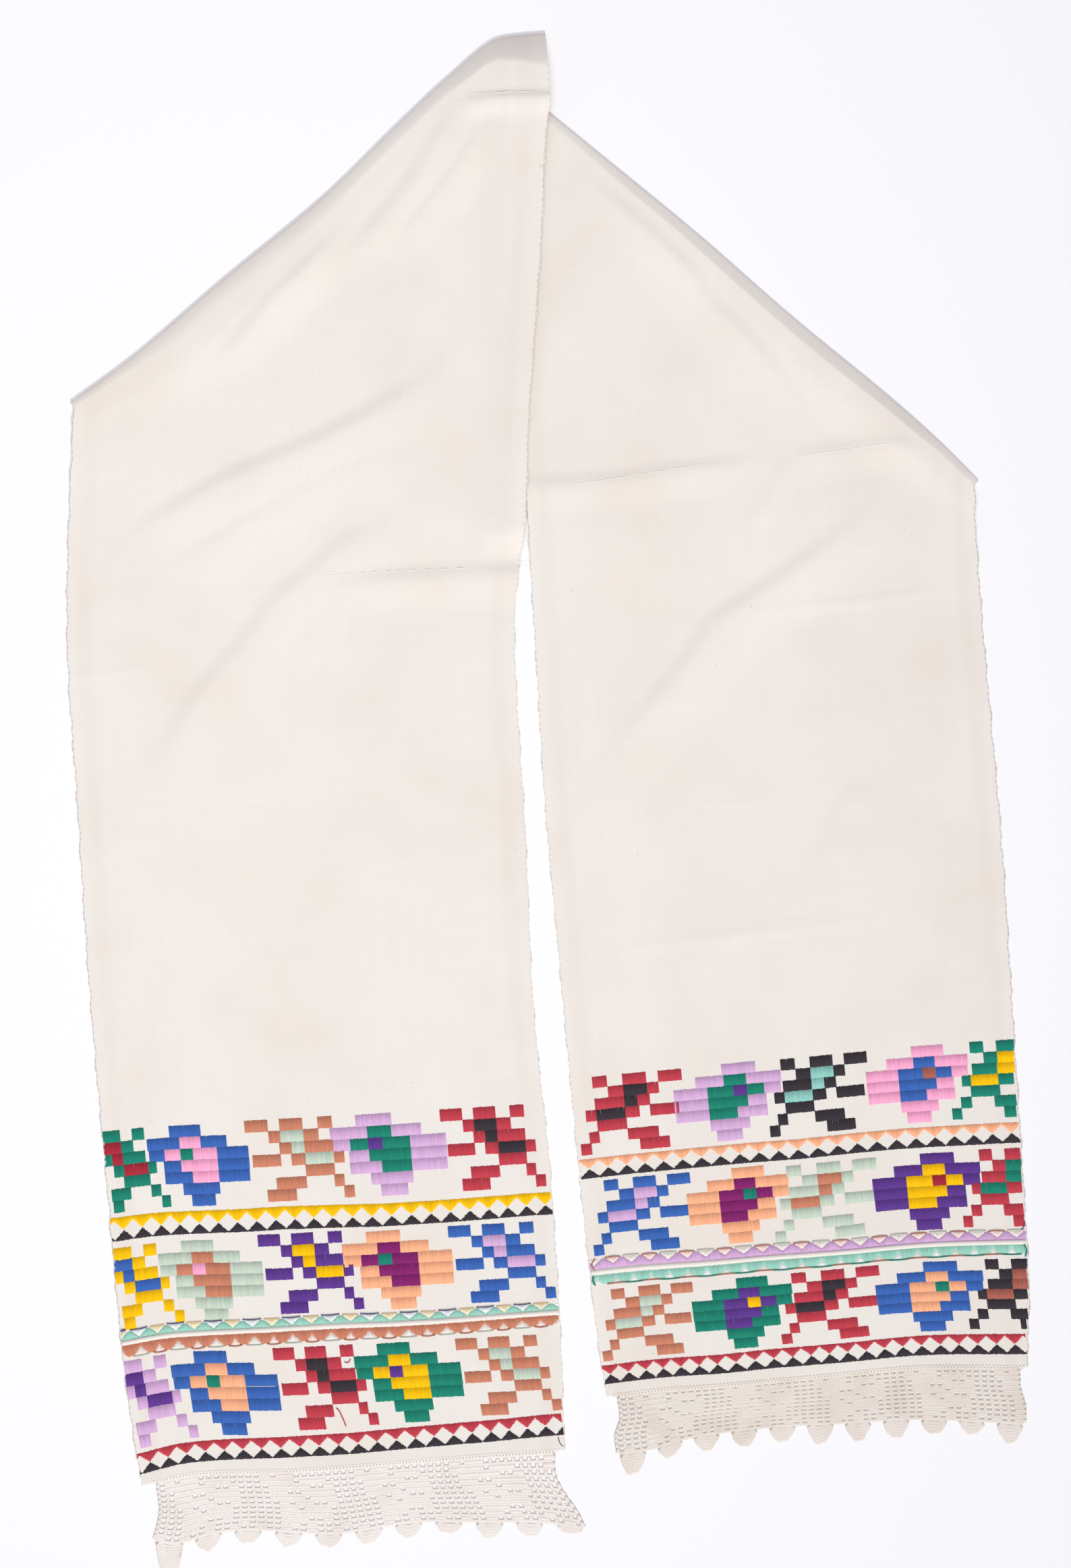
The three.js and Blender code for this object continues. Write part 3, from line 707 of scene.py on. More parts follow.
def pressed_crease(rows, half_width, line):
    """A crease along a soft line, laid on the face of a leg."""
    soft_line = SoftLine(line)
    run = np.linspace(0, 1, round(soft_line.length / CREASE_STEP))
    places = soft_line.at(run * soft_line.length)
    gaps = np.linalg.norm(places[:, None] - rows.reshape(1, -1, 3)[..., :2], axis=-1)
    near = np.argsort(gaps, axis=1)[:, :CREASE_NEIGHBOURS]
    weights = 1 / (np.take_along_axis(gaps, near, axis=1) + CREASE_SINK)
    heights = (rows.reshape(-1, 3)[near, 2] * weights).sum(1) / weights.sum(1)
    points = np.concatenate([places, (heights + CLOTH_THICKNESS / 2 - CREASE_SINK)[:, None]], 1)
    swell = mix(CREASE_LEAST, 1, smooth(np.minimum(run, 1 - run) / CREASE_TAPER))
    return tubes(points[None], half_width * swell[None], flatten=CREASE_FLATTEN)


creases = add_piece("pressed_creases", *joined([pressed_crease(*crease) for crease in PRESSED]), cotton)
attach(creases, "root")


# Embroidered motifs: three rows on each leg of four-petalled roses and of stepped figures between them.
# They are worked in upright satin stitch over counted threads, in soft two-ply cotton yarn.
# Each motif has seven courses of stitches; the right leg's are the left leg's turned over.
STITCH_WIDTH = 1.12
STITCH_HEIGHT = 0.34
STITCH_SINK = 0.12
STITCH_TAPER = 0.4
STITCH_UNEVEN = 0.22
STITCH_LEAN = 0.12
TAPER_SHARE = 0.3
CREST_SPREAD = (0.82, 1.12)
FULL_CREST_LENGTH = 3
LEAST_CREST = 0.4
COURSE_OVERLAP = 0.4

# A stitch's cross-section: distance from its middle in stitch widths, share of its crest
STITCH_RING = ((-0.62, 0), (-0.46, 1), (0.46, 1), (0.62, 0))

YARNS = {
    "red": "#C6414F", "dark_red": "#AE2A3C", "black": "#3A353B", "green": "#1B8872",
    "teal": "#A0D8C6", "mint": "#CAD9C8", "lilac": "#DBB3DE", "purple": "#623B93",
    "plum": "#8A236F", "blue": "#3D6ABA", "pink": "#FFB0D4", "peach": "#FFB88E",
    "yellow": "#FFC900", "terracotta": "#D0866A", "aqua": "#93D0C5", "brown": "#B16657",
}

# Charts from the top course down. Columns: part, start and end in counted steps from the motif's side.
ROSE_STEPS = 19
ROSE = [
    [("outer", 4.2, 10.2)],
    [("outer", -0.2, 6), ("centre", 6, 10), ("outer", 10, 15)],
    [("outer", 0, 3), ("centre", 3, 6), ("eye", 6, 8.4), ("centre", 8.4, 13), ("outer", 13, 19)],
    [("outer", 2.7, 6), ("centre", 6, 13), ("outer", 13, 19)],
    [("outer", 2.7, 8), ("centre", 8, 13), ("outer", 13, 18.9)],
    [("outer", 6, 13)],
    [("outer", 7.5, 12)],
]
FIGURE_STEPS = 18
FIGURE = [
    [("main", 0, 4), ("main", 6, 10), ("main", 12.6, 15.1)],
    [("main", 4, 6), ("accent", 6, 10), ("main", 10, 12.6)],
    [("main", 5.7, 7.8), ("accent", 7.8, 10), ("main", 10, 15)],
    [("main", 0.9, 5.8), ("main", 7.6, 10), ("accent", 10, 14.9), ("main", 14.9, 16.7)],
    [("main", 9.9, 14.9)],
    [("main", 4.7, 9.9), ("main", 14.7, 16.4)],
    [("main", 3, 8), ("main", 16.2, 18)],
]
HALF_STEPS = 12.8
HALF_FIGURE = [
    [("main", 0, 3.6), ("main", 6, 8.5)],
    [("accent", 0, 3.6), ("main", 3.6, 6.1)],
    [("main", 0, 1.6), ("accent", 1.6, 3.8), ("main", 3.8, 8.4)],
    [("main", 1.7, 3.8), ("accent", 3.8, 8.8), ("main", 8.8, 10.5)],
    [("main", 3.6, 9)],
    [("main", 0.8, 4.8), ("main", 9, 11)],
    [("main", 1, 3.2), ("main", 11, 12.8)],
]

# The right leg's half figures have a taller accent at the edge
RIGHT_HALF = HALF_FIGURE[:2] + [
    [("accent", 0, 3.8), ("main", 3.8, 8.4)],
    [("main", 0.9, 3.8), ("accent", 3.8, 8.8), ("main", 8.8, 10.5)],
] + HALF_FIGURE[4:]

# Rows of motifs, from the folds down. A row: heights above the hem at the leg's left and right side,
# of its top and of its foot. Its motifs: chart, distance from the leg's left side, width, how far it
# stands above the row's line, yarns.
LEFT_MOTIFS = [
    ((279, 272), (214.5, 207), [
        ("half", 0, 49.2, 0.5, ("green", "dark_red")),
        ("rose", 35.1, 78, 0, ("blue", "pink", "green")),
        ("figure", 111.7, 82, 1.2, ("terracotta", "mint")),
        ("rose", 179, 89.6, 0.5, ("lilac", "green", "purple")),
        ("figure", 265.3, 78.6, 0.6, ("red", "black")),
    ]),
    ((188.5, 179.5), (124, 119), [
        ("half", 0, 51.8, -1.4, ("yellow", "blue")),
        ("rose", 36.2, 80, -1.2, ("mint", "terracotta", "pink")),
        ("figure", 114.4, 78.6, 1.8, ("purple", "yellow")),
        ("rose", 180.5, 85, -0.3, ("peach", "plum", "green")),
        ("figure", 263.7, 80, 0.6, ("blue", "lilac")),
    ]),
    ((100, 90.5), (30.5, 31), [
        ("half", 0, 50.7, -1.8, ("lilac", "purple")),
        ("rose", 37.5, 81.5, -1.2, ("blue", "peach", "green")),
        ("figure", 117.7, 75, 0.6, ("red", "black")),
        ("rose", 181.2, 81.5, 0, ("green", "yellow", "purple")),
        ("figure", 261, 76, 0.6, ("terracotta", "mint")),
    ]),
]
RIGHT_MOTIFS = [
    ((250.5, 256.5), (190, 196), [
        ("figure", 3.2, 84, 0, ("red", "black")),
        ("rose", 79.5, 84.5, 0.6, ("lilac", "green", "purple")),
        ("figure", 152.2, 81, 0, ("black", "aqua")),
        ("rose", 231.3, 80, 0.6, ("pink", "blue", "brown")),
        ("right_half", 296.1, 54.6, 1.2, ("green", "yellow")),
    ]),
    ((167.5, 172.5), (109.5, 111), [
        ("figure", 5, 81, 1.1, ("blue", "lilac")),
        ("rose", 81.9, 80, 1.2, ("peach", "plum", "green")),
        ("figure", 148, 84.5, -1.3, ("mint", "terracotta")),
        ("rose", 228, 84.5, -1.2, ("purple", "yellow", "dark_red")),
        ("right_half", 296, 52.5, 0, ("red", "green")),
    ]),
    ((83, 84), (27.5, 29), [
        ("figure", 2.2, 76.6, 0, ("terracotta", "mint")),
        ("rose", 76.7, 78.6, 0, ("green", "purple", "yellow")),
        ("figure", 143.3, 82.4, 0, ("red", "black")),
        ("rose", 221.3, 84.4, 0, ("blue", "peach", "green")),
        ("right_half", 291.3, 53.5, 1.2, ("black", "brown")),
    ]),
]
CHARTS = {"rose": (ROSE, ROSE_STEPS), "figure": (FIGURE, FIGURE_STEPS), "half": (HALF_FIGURE, HALF_STEPS),
          "right_half": (RIGHT_HALF, HALF_STEPS)}

# Which of its motif's yarns each part takes
PART_YARN = {"outer": 0, "centre": 1, "eye": 2, "main": 0, "accent": 1}


def leg_width(leg, height):
    """The leg's width at heights above its hem."""
    return np.linalg.norm(leg["inner"].at(height) - leg["outer"].at(height), axis=-1)


def on_leg(leg, sideways, height, lift):
    """Points at distances from the leg's left side and above its hem, lifted from the cloth's face."""
    share = np.clip(sideways / leg_width(leg, height), 0, 1)
    across = share if leg["turn"] > 0 else 1 - share
    points = leg_points(leg, across, height / STRAIGHT_LENGTH, 0)
    points[..., 2] += CLOTH_THICKNESS / 2 + lift
    return points


def stitch_mesh(leg, sideways, low, high, random):
    """Plump satin stitches at arrays of places, each a closed spindle from low to high."""
    count = len(sideways)
    low = low + random.uniform(-STITCH_UNEVEN, STITCH_UNEVEN, count)
    high = high + random.uniform(-STITCH_UNEVEN, STITCH_UNEVEN, count)
    taper = np.minimum(STITCH_TAPER, TAPER_SHARE * (high - low))
    fullness = np.clip((high - low) / FULL_CREST_LENGTH, LEAST_CREST, 1)
    crest = STITCH_HEIGHT * random.uniform(*CREST_SPREAD, count) * fullness
    lean = random.uniform(-STITCH_LEAN, STITCH_LEAN, count)
    ring_across, ring_raised = np.array(STITCH_RING).T
    sides = len(STITCH_RING)
    tip = np.zeros((count, 1))
    across = np.concatenate([tip, np.tile(ring_across * STITCH_WIDTH, (count, 2)), tip], 1)
    across += sideways[:, None]
    across[:, 1 + sides:] += lean[:, None]
    heights = np.repeat(np.stack([low, low + taper, high - taper, high], 1), (1, sides, sides, 1), axis=1)
    lifts = np.concatenate([tip, np.tile(ring_raised * crest[:, None], 2), tip], 1) - STITCH_SINK
    points = on_leg(leg, across, heights, lifts)
    foot_ring = 1 + np.arange(sides)
    foot_next = np.roll(foot_ring, -1)
    head_ring, head_next = foot_ring + sides, foot_next + sides
    foot_tip, head_tip = np.zeros_like(foot_ring), np.full_like(foot_ring, 1 + 2 * sides)
    start = heights.shape[1] * np.arange(count)[:, None, None]
    walls = start + np.stack([foot_ring, foot_next, head_next, head_ring], 1)
    tips = start + np.concatenate([np.stack([foot_tip, foot_next, foot_ring], 1),
                                   np.stack([head_tip, head_ring, head_next], 1)])
    faces = walls.reshape(-1, 4).tolist() + tips.reshape(-1, 3).tolist()
    return points.reshape(-1, 3), faces, np.repeat(random.uniform(0, 1, count), heights.shape[1])


def motif_blocks(leg, rows):
    """Every block of stitches of a leg's motifs: yarn, left and right side, foot and top heights, slant."""
    for top, foot, motifs in rows:
        for kind, start, width, rise, yarns in motifs:
            chart, steps = CHARTS[kind]
            for course, blocks in enumerate(chart):
                for part, first, last in blocks:
                    ends = np.array([first, last]) / steps
                    if leg["turn"] < 0:
                        ends = 1 - ends[::-1]
                    sides = start + width * ends
                    share = sides.mean() / CLOTH_WIDTH
                    row_top = mix(top[0], top[1], share)
                    course_height = (row_top - mix(foot[0], foot[1], share)) / len(chart)
                    high = row_top + rise - course * course_height
                    slant = (top[1] - top[0]) / CLOTH_WIDTH
                    low = high - course_height
                    yarn = yarns[PART_YARN[part]]
                    yield yarn, *sides, low - COURSE_OVERLAP, high + COURSE_OVERLAP, slant


def block_stitches(left, right, low, high, slant):
    """Evenly spaced stitches that fill a block."""
    count = max(2, round((right - left) / STITCH_WIDTH))
    sideways = left + (right - left) * (np.arange(count) + 0.5) / count
    drift = slant * (sideways - (left + right) / 2)
    return sideways, low + drift, high + drift


# Soft two-ply embroidery cotton: dull and a little fuzzy, each strand its own shade, lit along its crest
PLY_PITCH = 0.9


def yarn_material(name, colour):
    """Embroidery cotton of one colour, each stitch a little lighter or darker."""
    material, tree, shader = new_material(f"embroidery_cotton_{name}")
    tone = add_node(tree, "ShaderNodeAttribute", attribute_name="tone").outputs["Fac"]
    place = add_node(tree, "ShaderNodeTexCoord").outputs["Object"]
    fuzz = add_node(
        tree, "ShaderNodeTexNoise", {"Vector": place, "Scale": 1 / (PLY_PITCH * MM), "Detail": 2.0})
    mottle = add_node(tree, "ShaderNodeMath", {0: fuzz.outputs["Fac"], 1: tone}, operation="ADD")
    value = add_node(tree, "ShaderNodeMapRange", {"Value": mottle.outputs[0], "From Min": 0.2,
                                                  "From Max": 1.8, "To Min": 0.9, "To Max": 1.1})
    shade = add_node(tree, "ShaderNodeHueSaturation", {"Value": value.outputs[0], "Color": linear(colour)})
    tree.links.new(shade.outputs[0], shader.inputs["Base Color"])
    bump = add_node(tree, "ShaderNodeBump", {"Strength": 0.25, "Distance": 0.25 * MM,
                                             "Height": fuzz.outputs["Fac"]})
    tree.links.new(bump.outputs[0], shader.inputs["Normal"])
    shader.inputs["Roughness"].default_value = 0.85
    shader.inputs["Specular IOR Level"].default_value = 0.15
    shader.inputs["Sheen Weight"].default_value = 0.12
    return material


yarn_materials = {name: yarn_material(name, colour) for name, colour in YARNS.items()}


def add_stitches(prefix, stitches, random):
    """One piece for each yarn, from lists of leg, places, foot and top heights."""
    pieces = []
    for name in sorted(stitches):
        meshes = [stitch_mesh(*some, random) for some in stitches[name]]
        points, faces = joined([(some_points, some_faces) for some_points, some_faces, _ in meshes])
        tones = np.concatenate([some_tones for *_, some_tones in meshes])
        piece = add_piece(f"{prefix}_{name}", points, faces, yarn_materials[name], tones=tones)
        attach(piece, "root")
        pieces.append(piece)
    return pieces


motif_stitches = {}
for leg, rows in ((left_leg, LEFT_MOTIFS), (right_leg, RIGHT_MOTIFS)):
    for yarn, *block in motif_blocks(leg, rows):
        sideways, low, high = block_stitches(*block)
        kept = sideways < leg_width(leg, low) - STITCH_WIDTH / 2
        motif_stitches.setdefault(yarn, []).append((leg, sideways[kept], low[kept], high[kept]))
motifs = add_stitches("motif", motif_stitches, np.random.default_rng(3))


# Borders: bands of satin stitch across each leg, between the rows of motifs.
# Two have small diamonds left bare between points of two colours; the pair between them has notches and
# points filled with paler yarn. Thin threads are couched over the notches and along the points.
LEAST_STITCH = 0.6
LEAST_BAND = 1.7
THREAD_STEPS = 9
THREAD_RADIUS = 0.5
THREAD_FLATTEN = 0.7
THREAD_LIFT = 0.4

BORDER_YARNS = {
    "pale_yellow": "#F7ECCB", "white": "#EDF3F3", "cream": "#F2EBE3", "blush": "#FBE5DD",
    "slate": "#5C5D80", "rust": "#B87B68", "sage": "#CBD0C4", "straw": "#E6CB97",
}
yarn_materials.update({name: yarn_material(name, colour) for name, colour in BORDER_YARNS.items()})

# Diamond bands. Columns: heights above the hem at the leg's left and right side, of the top and of the
# foot; the first diamond's distance from the leg's left side; the distance between diamonds; at nine
# places across, how far the diamonds have run to the right of that, and how far the band stands above its
# straight line; the diamonds' middle and half height as shares of the band's height; upper and lower yarn.
LEFT_DIAMONDS = [
    ((211.5, 203.5), (192.5, 185.5), 2.9, 14.87, (0, -0.3, 0.3, 0.8, 0.8, 2, 3.5, 4.3, 4.2),
     (0, -0.5, -0.3, 0.5, -0.5, -2, -2, -1.5, -0.5), 0.45, 0.385, ("yellow", "black")),
    ((25.3, 28.3), (8.6, 10.8), 2.1, 14.76, (0, 0, 0, 0.8, 1.5, 2.5, 3, 3.2, 2),
     (0, 0, 0.8, 0.8, -0.2, 0, 0, 0, 0.8), 0.47, 0.39, ("red", "black")),
]
RIGHT_DIAMONDS = [
    ((187.5, 193), (171.8, 176.3), 0.5, 15.15, (0, -2, -2.5, -2.5, -2, -1, -0.2, 0, -0.3),
     (-0.5, -0.3, 0.2, 0, -0.8, -0.5, -0.5, -0.5, 0), 0.49, 0.385, ("peach", "black")),
    ((24, 26), (8.8, 9.5), 0.2, 14.37, (-1.5, -3.3, -3.5, -2, -1.2, -1.3, -0.8, 0, 1),
     (0.5, 0.4, 0, 0.5, 0, -0.5, -0.3, 0, 0.4), 0.5, 0.39, ("red", "black")),
]

# Notched and pointed bands. Columns: as above, up to the band's stand above its straight line; the tip's
# share of the band's height and the half width at the open side, in half repeats, of every even and odd
# repeat; the ground's yarn and those of the even and odd fills.
LEFT_NOTCHES = ((119.6, 115.2), (112.8, 109.6), 14.8, 15.1, (0, -1.5, -1.5, -0.5, 0, 1, 1.3, 0.8, -0.8),
                (1.5, 1.5, 2, 2.5, 2.3, 0.5, -0.3, 0.4, 0.5), (0.2, 0.8), (0.2, 0.8),
                ("teal", "white", "pale_yellow"))
RIGHT_NOTCHES = ((107.3, 107.6), (99.2, 99.4), 5, 15, (-1, -2.5, -3, -3.2, -2.5, -1.5, -0.5, 0.5, 1.3),
                 (1, 0.4, 0, 0, -0.5, -1.8, -1, -0.5, -0.3), (0.36, 0.84), (0.4, 0.76),
                 ("lilac", "cream", "blush"))
LEFT_POINTS = ((109.4, 105.2), (99.7, 97.2), 15, 15.07, (0, -0.5, -1, -0.7, -0.8, -0.8, -0.5, -0.8, -2),
               (1.3, 0.8, 2, 2.5, 2, 0.5, 0, 0.5, 1), (0.67, 0.85), (0.6, 0.56),
               ("terracotta", "cream", "blush"))
RIGHT_POINTS = ((95, 96.2), (87.3, 87.6), 5.2, 14.76, (0, -2.3, -2.2, -2.2, -1, 0, 1, 1.5, 1.5),
                (0.5, 0, 0, 0.3, -0.5, -0.5, -0.5, 0.4, 1.5), (0.68, 0.52), (0.62, 0.46),
                ("teal", "white", "cream"))

# Couched threads. Columns: leg, band, along its top (0) or foot (1), over even (0) or odd (1) repeats, half
# length in half repeats, how far the thread lies above that line at its middle and at its ends, yarn.
COUCHED = [
    (left_leg, LEFT_NOTCHES, 0, 0, 0.95, 0.5, 0.9, "slate"),
    (left_leg, LEFT_NOTCHES, 0, 1, 0.8, 0.3, 0.3, "straw"),
    (left_leg, LEFT_POINTS, 1, 0, 0.85, -0.5, -0.2, "sage"),
    (left_leg, LEFT_POINTS, 1, 1, 0.7, -0.6, 0.1, "rust"),
    (right_leg, RIGHT_NOTCHES, 0, 0, 0.9, 0.7, 0.4, "sage"),
    (right_leg, RIGHT_NOTCHES, 0, 1, 0.85, 0.6, -0.1, "rust"),
    (right_leg, RIGHT_POINTS, 1, 0, 1, -0.3, 0, "green"),
    (right_leg, RIGHT_POINTS, 1, 1, 1, 0.2, 0, "rust"),
]


def spread(values, share):
    """Values read at the middles of equal parts across a leg, taken at shares of its width."""
    return np.interp(share, (np.arange(len(values)) + 0.5) / len(values), values)


def border_stitches(leg, top, foot, first, pitch, drift, rise):
    """Stitch places across a leg, with the border's foot and top there, how far each lies from the nearest
    repeat's centre, 1 at halfway, and that repeat's number."""
    width = leg_width(leg, np.mean([top, foot]))
    sideways = np.arange(STITCH_WIDTH / 2, width - STITCH_WIDTH / 2, STITCH_WIDTH)
    share = sideways / width
    stand = spread(rise, share)
    repeat = (sideways - first - spread(drift, share)) / pitch
    number = np.round(repeat).astype(int)
    return sideways, mix(*foot, share) + stand, mix(*top, share) + stand, 2 * np.abs(repeat - number), number


def long_enough(leg, sideways, low, high):
    """Only those stitches that are long enough to be worked."""
    kept = high - low > LEAST_STITCH
    return leg, sideways[kept], low[kept], high[kept]


def couched_threads(leg, band, edge, turn, half_length, middle_rise, end_rise):
    """Short threads, one over every second repeat of a band, as lines of points."""
    first, pitch, drift, rise = band[2:6]
    width = leg_width(leg, np.mean(band[edge]))
    numbers = np.arange(turn, (width - first) / pitch + 1, 2)
    run = np.linspace(-1, 1, THREAD_STEPS)
    sideways = first + pitch * (numbers[:, None] + half_length / 2 * run)
    sideways = sideways + spread(drift, sideways / width)
    sideways = sideways[(sideways.min(1) > 0) & (sideways.max(1) < width)]
    share = sideways / width
    heights = mix(*band[edge], share) + spread(rise, share) + mix(middle_rise, end_rise, run ** 2)
    return on_leg(leg, sideways, heights, THREAD_LIFT)


border_work = {}
for leg, diamonds, notches, points in ((left_leg, LEFT_DIAMONDS, LEFT_NOTCHES, LEFT_POINTS),
                                       (right_leg, RIGHT_DIAMONDS, RIGHT_NOTCHES, RIGHT_POINTS)):
    for *band, middle_share, half_share, (upper, lower) in diamonds:
        sideways, low, high, off, _ = border_stitches(leg, *band)
        bare = half_share * (high - low) * (1 - off)
        middle = mix(low, high, middle_share)
        upper_foot = np.minimum(middle + bare, high - LEAST_BAND)
        lower_top = np.maximum(middle - bare, low + LEAST_BAND)
        border_work.setdefault(upper, []).append((leg, sideways, upper_foot, high))
        border_work.setdefault(lower, []).append((leg, sideways, low, lower_top))

    for (*band, even, odd, (ground, *fills)), notched in ((notches, True), (points, False)):
        sideways, low, high, off, number = border_stitches(leg, *band)
        tip, reach = np.where(number % 2 == 0, np.array(even)[:, None], np.array(odd)[:, None])
        slant = tip + (1 - tip) * off / reach if notched else tip * (1 - off / reach)
        border = mix(low, high, np.clip(slant, 0, 1))
        ground_ends = (low, border) if notched else (border, high)
        fill_ends = (border, high) if notched else (low, border)
        border_work.setdefault(ground, []).append(long_enough(leg, sideways, *ground_ends))
        for turn, fill in enumerate(fills):
            own = number % 2 == turn
            border_work.setdefault(fill, []).append(
                long_enough(leg, sideways[own], fill_ends[0][own], fill_ends[1][own]))
borders = add_stitches("border", border_work, np.random.default_rng(5))

couched_lines = {}
for *thread, yarn in COUCHED:
    couched_lines.setdefault(yarn, []).append(couched_threads(*thread))
for name in sorted(couched_lines):
    strands = tubes(np.concatenate(couched_lines[name]), THREAD_RADIUS, flatten=THREAD_FLATTEN)
    piece = add_piece(f"couched_{name}", *strands, yarn_materials[name])
    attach(piece, "root")
    borders.append(piece)


# Corded ridge: a white cord of soft cotton couched between the paired borders of each leg.
# It stands a little above the stitches on both sides.
CORD_STEP = 2
CORD_INSET = 0.5
CORD_RADIUS = 1.8
CORD_FLATTEN = 0.5
CORD_LIFT = 0.35
CORD_SIDES = 8

# Columns: leg, heights above the hem at the leg's left and right side, at nine places across how far the
# cord stands above its straight line
CORDS = [
    (left_leg, (111.1, 107.4), (1.4, 1.2, 2, 2.5, 2.1, 0.5, -0.1, 0.4, 0.8)),
    (right_leg, (97.1, 97.9), (0.7, 0.2, 0, 0.1, -0.5, -1.2, -0.8, 0, 0.5)),
]


def corded_ridge(leg, heights, rise):
    """A cord across a leg, from one selvedge to the other."""
    width = leg_width(leg, np.mean(heights))
    sideways = np.arange(CORD_INSET, width, CORD_STEP)
    share = sideways / width
    line = on_leg(leg, sideways, mix(*heights, share) + spread(rise, share), CORD_LIFT)
    return tubes(line[None], CORD_RADIUS, CORD_SIDES, CORD_FLATTEN)


ridges = add_piece("corded_ridges", *joined([corded_ridge(*cord) for cord in CORDS]), cotton)
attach(ridges, "root")


# Thread ends: a few tails of embroidery yarn left loose on the face, and the turns of the couched threads
# round the selvedges. Each is one strand of the yarn beside it.
TAIL_STEPS = 14

# Columns: leg, yarn, radius, places by distance from the leg's left side and height above its hem
TAILS = [
    (left_leg, "red", 0.45, [(161.2, 47), (163, 45), (164.2, 41), (165.4, 37), (166.5, 32)]),
    (left_leg, "red", 0.4, [(177.7, 84.5), (175.7, 82), (172.7, 82.5)]),
    (left_leg, "slate", 0.9, [(4.4, 122.3), (2.4, 122.8), (0.8, 122)]),
    (left_leg, "slate", 0.35, [(330, 10.5), (330.2, 7), (331.4, 4.2), (332.6, 2.8)]),
    (left_leg, "white", 0.25, [(93.7, 68.2), (105, 67.9), (116.5, 67.6)]),
    (right_leg, "rust", 0.5, [(5, 108.5), (2.6, 105.5), (1.8, 103), (3.6, 100)]),
    (right_leg, "green", 0.7, [(2.2, 95), (1.6, 91.5), (3, 87.8)]),
    (right_leg, "green", 0.6, [(341.5, 96.5), (343, 92), (341.5, 87)]),
    (right_leg, "slate", 0.4, [(340, 107.5), (342.8, 110.5), (343.6, 114)]),
]

tail_meshes = {}
for leg, yarn, radius, places in TAILS:
    tail = SoftLine(places)
    sideways, heights = tail.at(np.linspace(0, tail.length, TAIL_STEPS)).T
    tail_meshes.setdefault(yarn, []).append(
        tubes(on_leg(leg, sideways, heights, THREAD_LIFT)[None], radius, flatten=THREAD_FLATTEN))
for yarn in sorted(tail_meshes):
    piece = add_piece(f"tail_{yarn}", *joined(tail_meshes[yarn]), yarn_materials[yarn])
    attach(piece, "root")


# Lace: a crocheted edging of unbleached cotton thread on each end, worked as a grid of open and filled
# meshes, with a scalloped lower edge. Posts run from the seam down, and a chain crosses between courses.
# Slanting overcast stitches sew each edging to its hem.
MESH_ROWS = 11
SEAM_GAP = 0.1
GRID_SIDE_MARGIN = 0.012
GRID_TOP_MARGIN = 0.03
GRID_BOTTOM_MARGIN = 0.02
THREAD_HEIGHT = 0.4

# Posts, narrowest at their waists
POSTS_PER_MESH = 3
POST_RADIUS = 1.72
POST_FLATTEN = 0.2
POST_WAIST = (1.05, 0.9, 1.05)
POST_SPREAD = (0.92, 1.08)
POST_WANDER = 0.05

# Chains, swelling at each stitch
CHAIN_RADIUS = 1.46
CHAIN_FLATTEN = 0.23
CHAIN_SWELL = 0.16
CHAIN_PITCH = 2.2
CHAIN_STEP = 1.1
CHAIN_RISE = 0.05
CHAIN_POINTS_PER_MESH = 4

# Scallops, of chains that hang under one another and of spokes down through them
SCALLOP_HALF_WIDTH = 0.31
SCALLOP_ROUNDNESS = 2.4
SCALLOP_COURSE_DEPTH = 2.3
SCALLOP_RAGGED = 0.1
SCALLOP_POINTS_PER_MESH = 12
RAGGED_WAVES = (2.1, 5.7)
LEAST_SCALLOP = 0.4
SPOKE_SPACING = 2.3
SPOKE_RADIUS = 1.376
SPOKE_POINTS = 3
LEAST_SPOKE = 2

# One repeat of the pattern, from the seam down: o is an open mesh, a dot is a filled one
LACE_REPEAT = [
    ".oooooooo.o.",
    ".o...oooo...",
    "...oo.oooo..",
    "oo....oooo..",
    "..o...oooo..",
    "o..oo.ooooo.",
    ".o...oooooo.",
    ".....oooooo.",
    "..oo.oooooo.",
    ".o.ooo.oooo.",
    "oo.oo.oo.oo.",
]

# Each edging: its meshes across, those before its first whole repeat, how full its thread has swollen in
# the wash, the share of its thickness that pressing has left, the shares of the hem where it starts and
# ends, the points x, y of its sides and of the line that its scallops hang from, and how deep each scallop
# is, all from left to right
LEFT_LACE = {
    "columns": 50, "lead": 4, "fullness": 1, "pressed": 0.5, "hem_shares": (0.027, 0.985),
    "left": [(-308, -545), (-313, -566)],
    "right": [(8, -512), (13, -526), (26, -545), (33, -559)],
    "valleys": [(-313, -566), (-293, -570), (-264, -562), (-233, -559), (-168, -562), (-105, -553),
                (-43, -553), (-8, -553), (33, -559)],
    "scallops": (27, 11, 9, 10, 9, 10, 10, 8, 11, 10, 4),
}
RIGHT_LACE = {
    "columns": 53, "lead": 5, "fullness": 1.06, "pressed": 1, "hem_shares": (0.982, 0.009),
    "left": [(54, -472), (50, -486), (52, -500)],
    "right": [(374, -448), (378, -462), (378, -476)],
    "valleys": [(52, -500), (80, -496), (111, -487), (166, -479), (235, -475), (290, -472), (378, -476)],
    "scallops": (16, 9, 11, 12, 11, 14, 13, 13, 10, 9, 14),
}


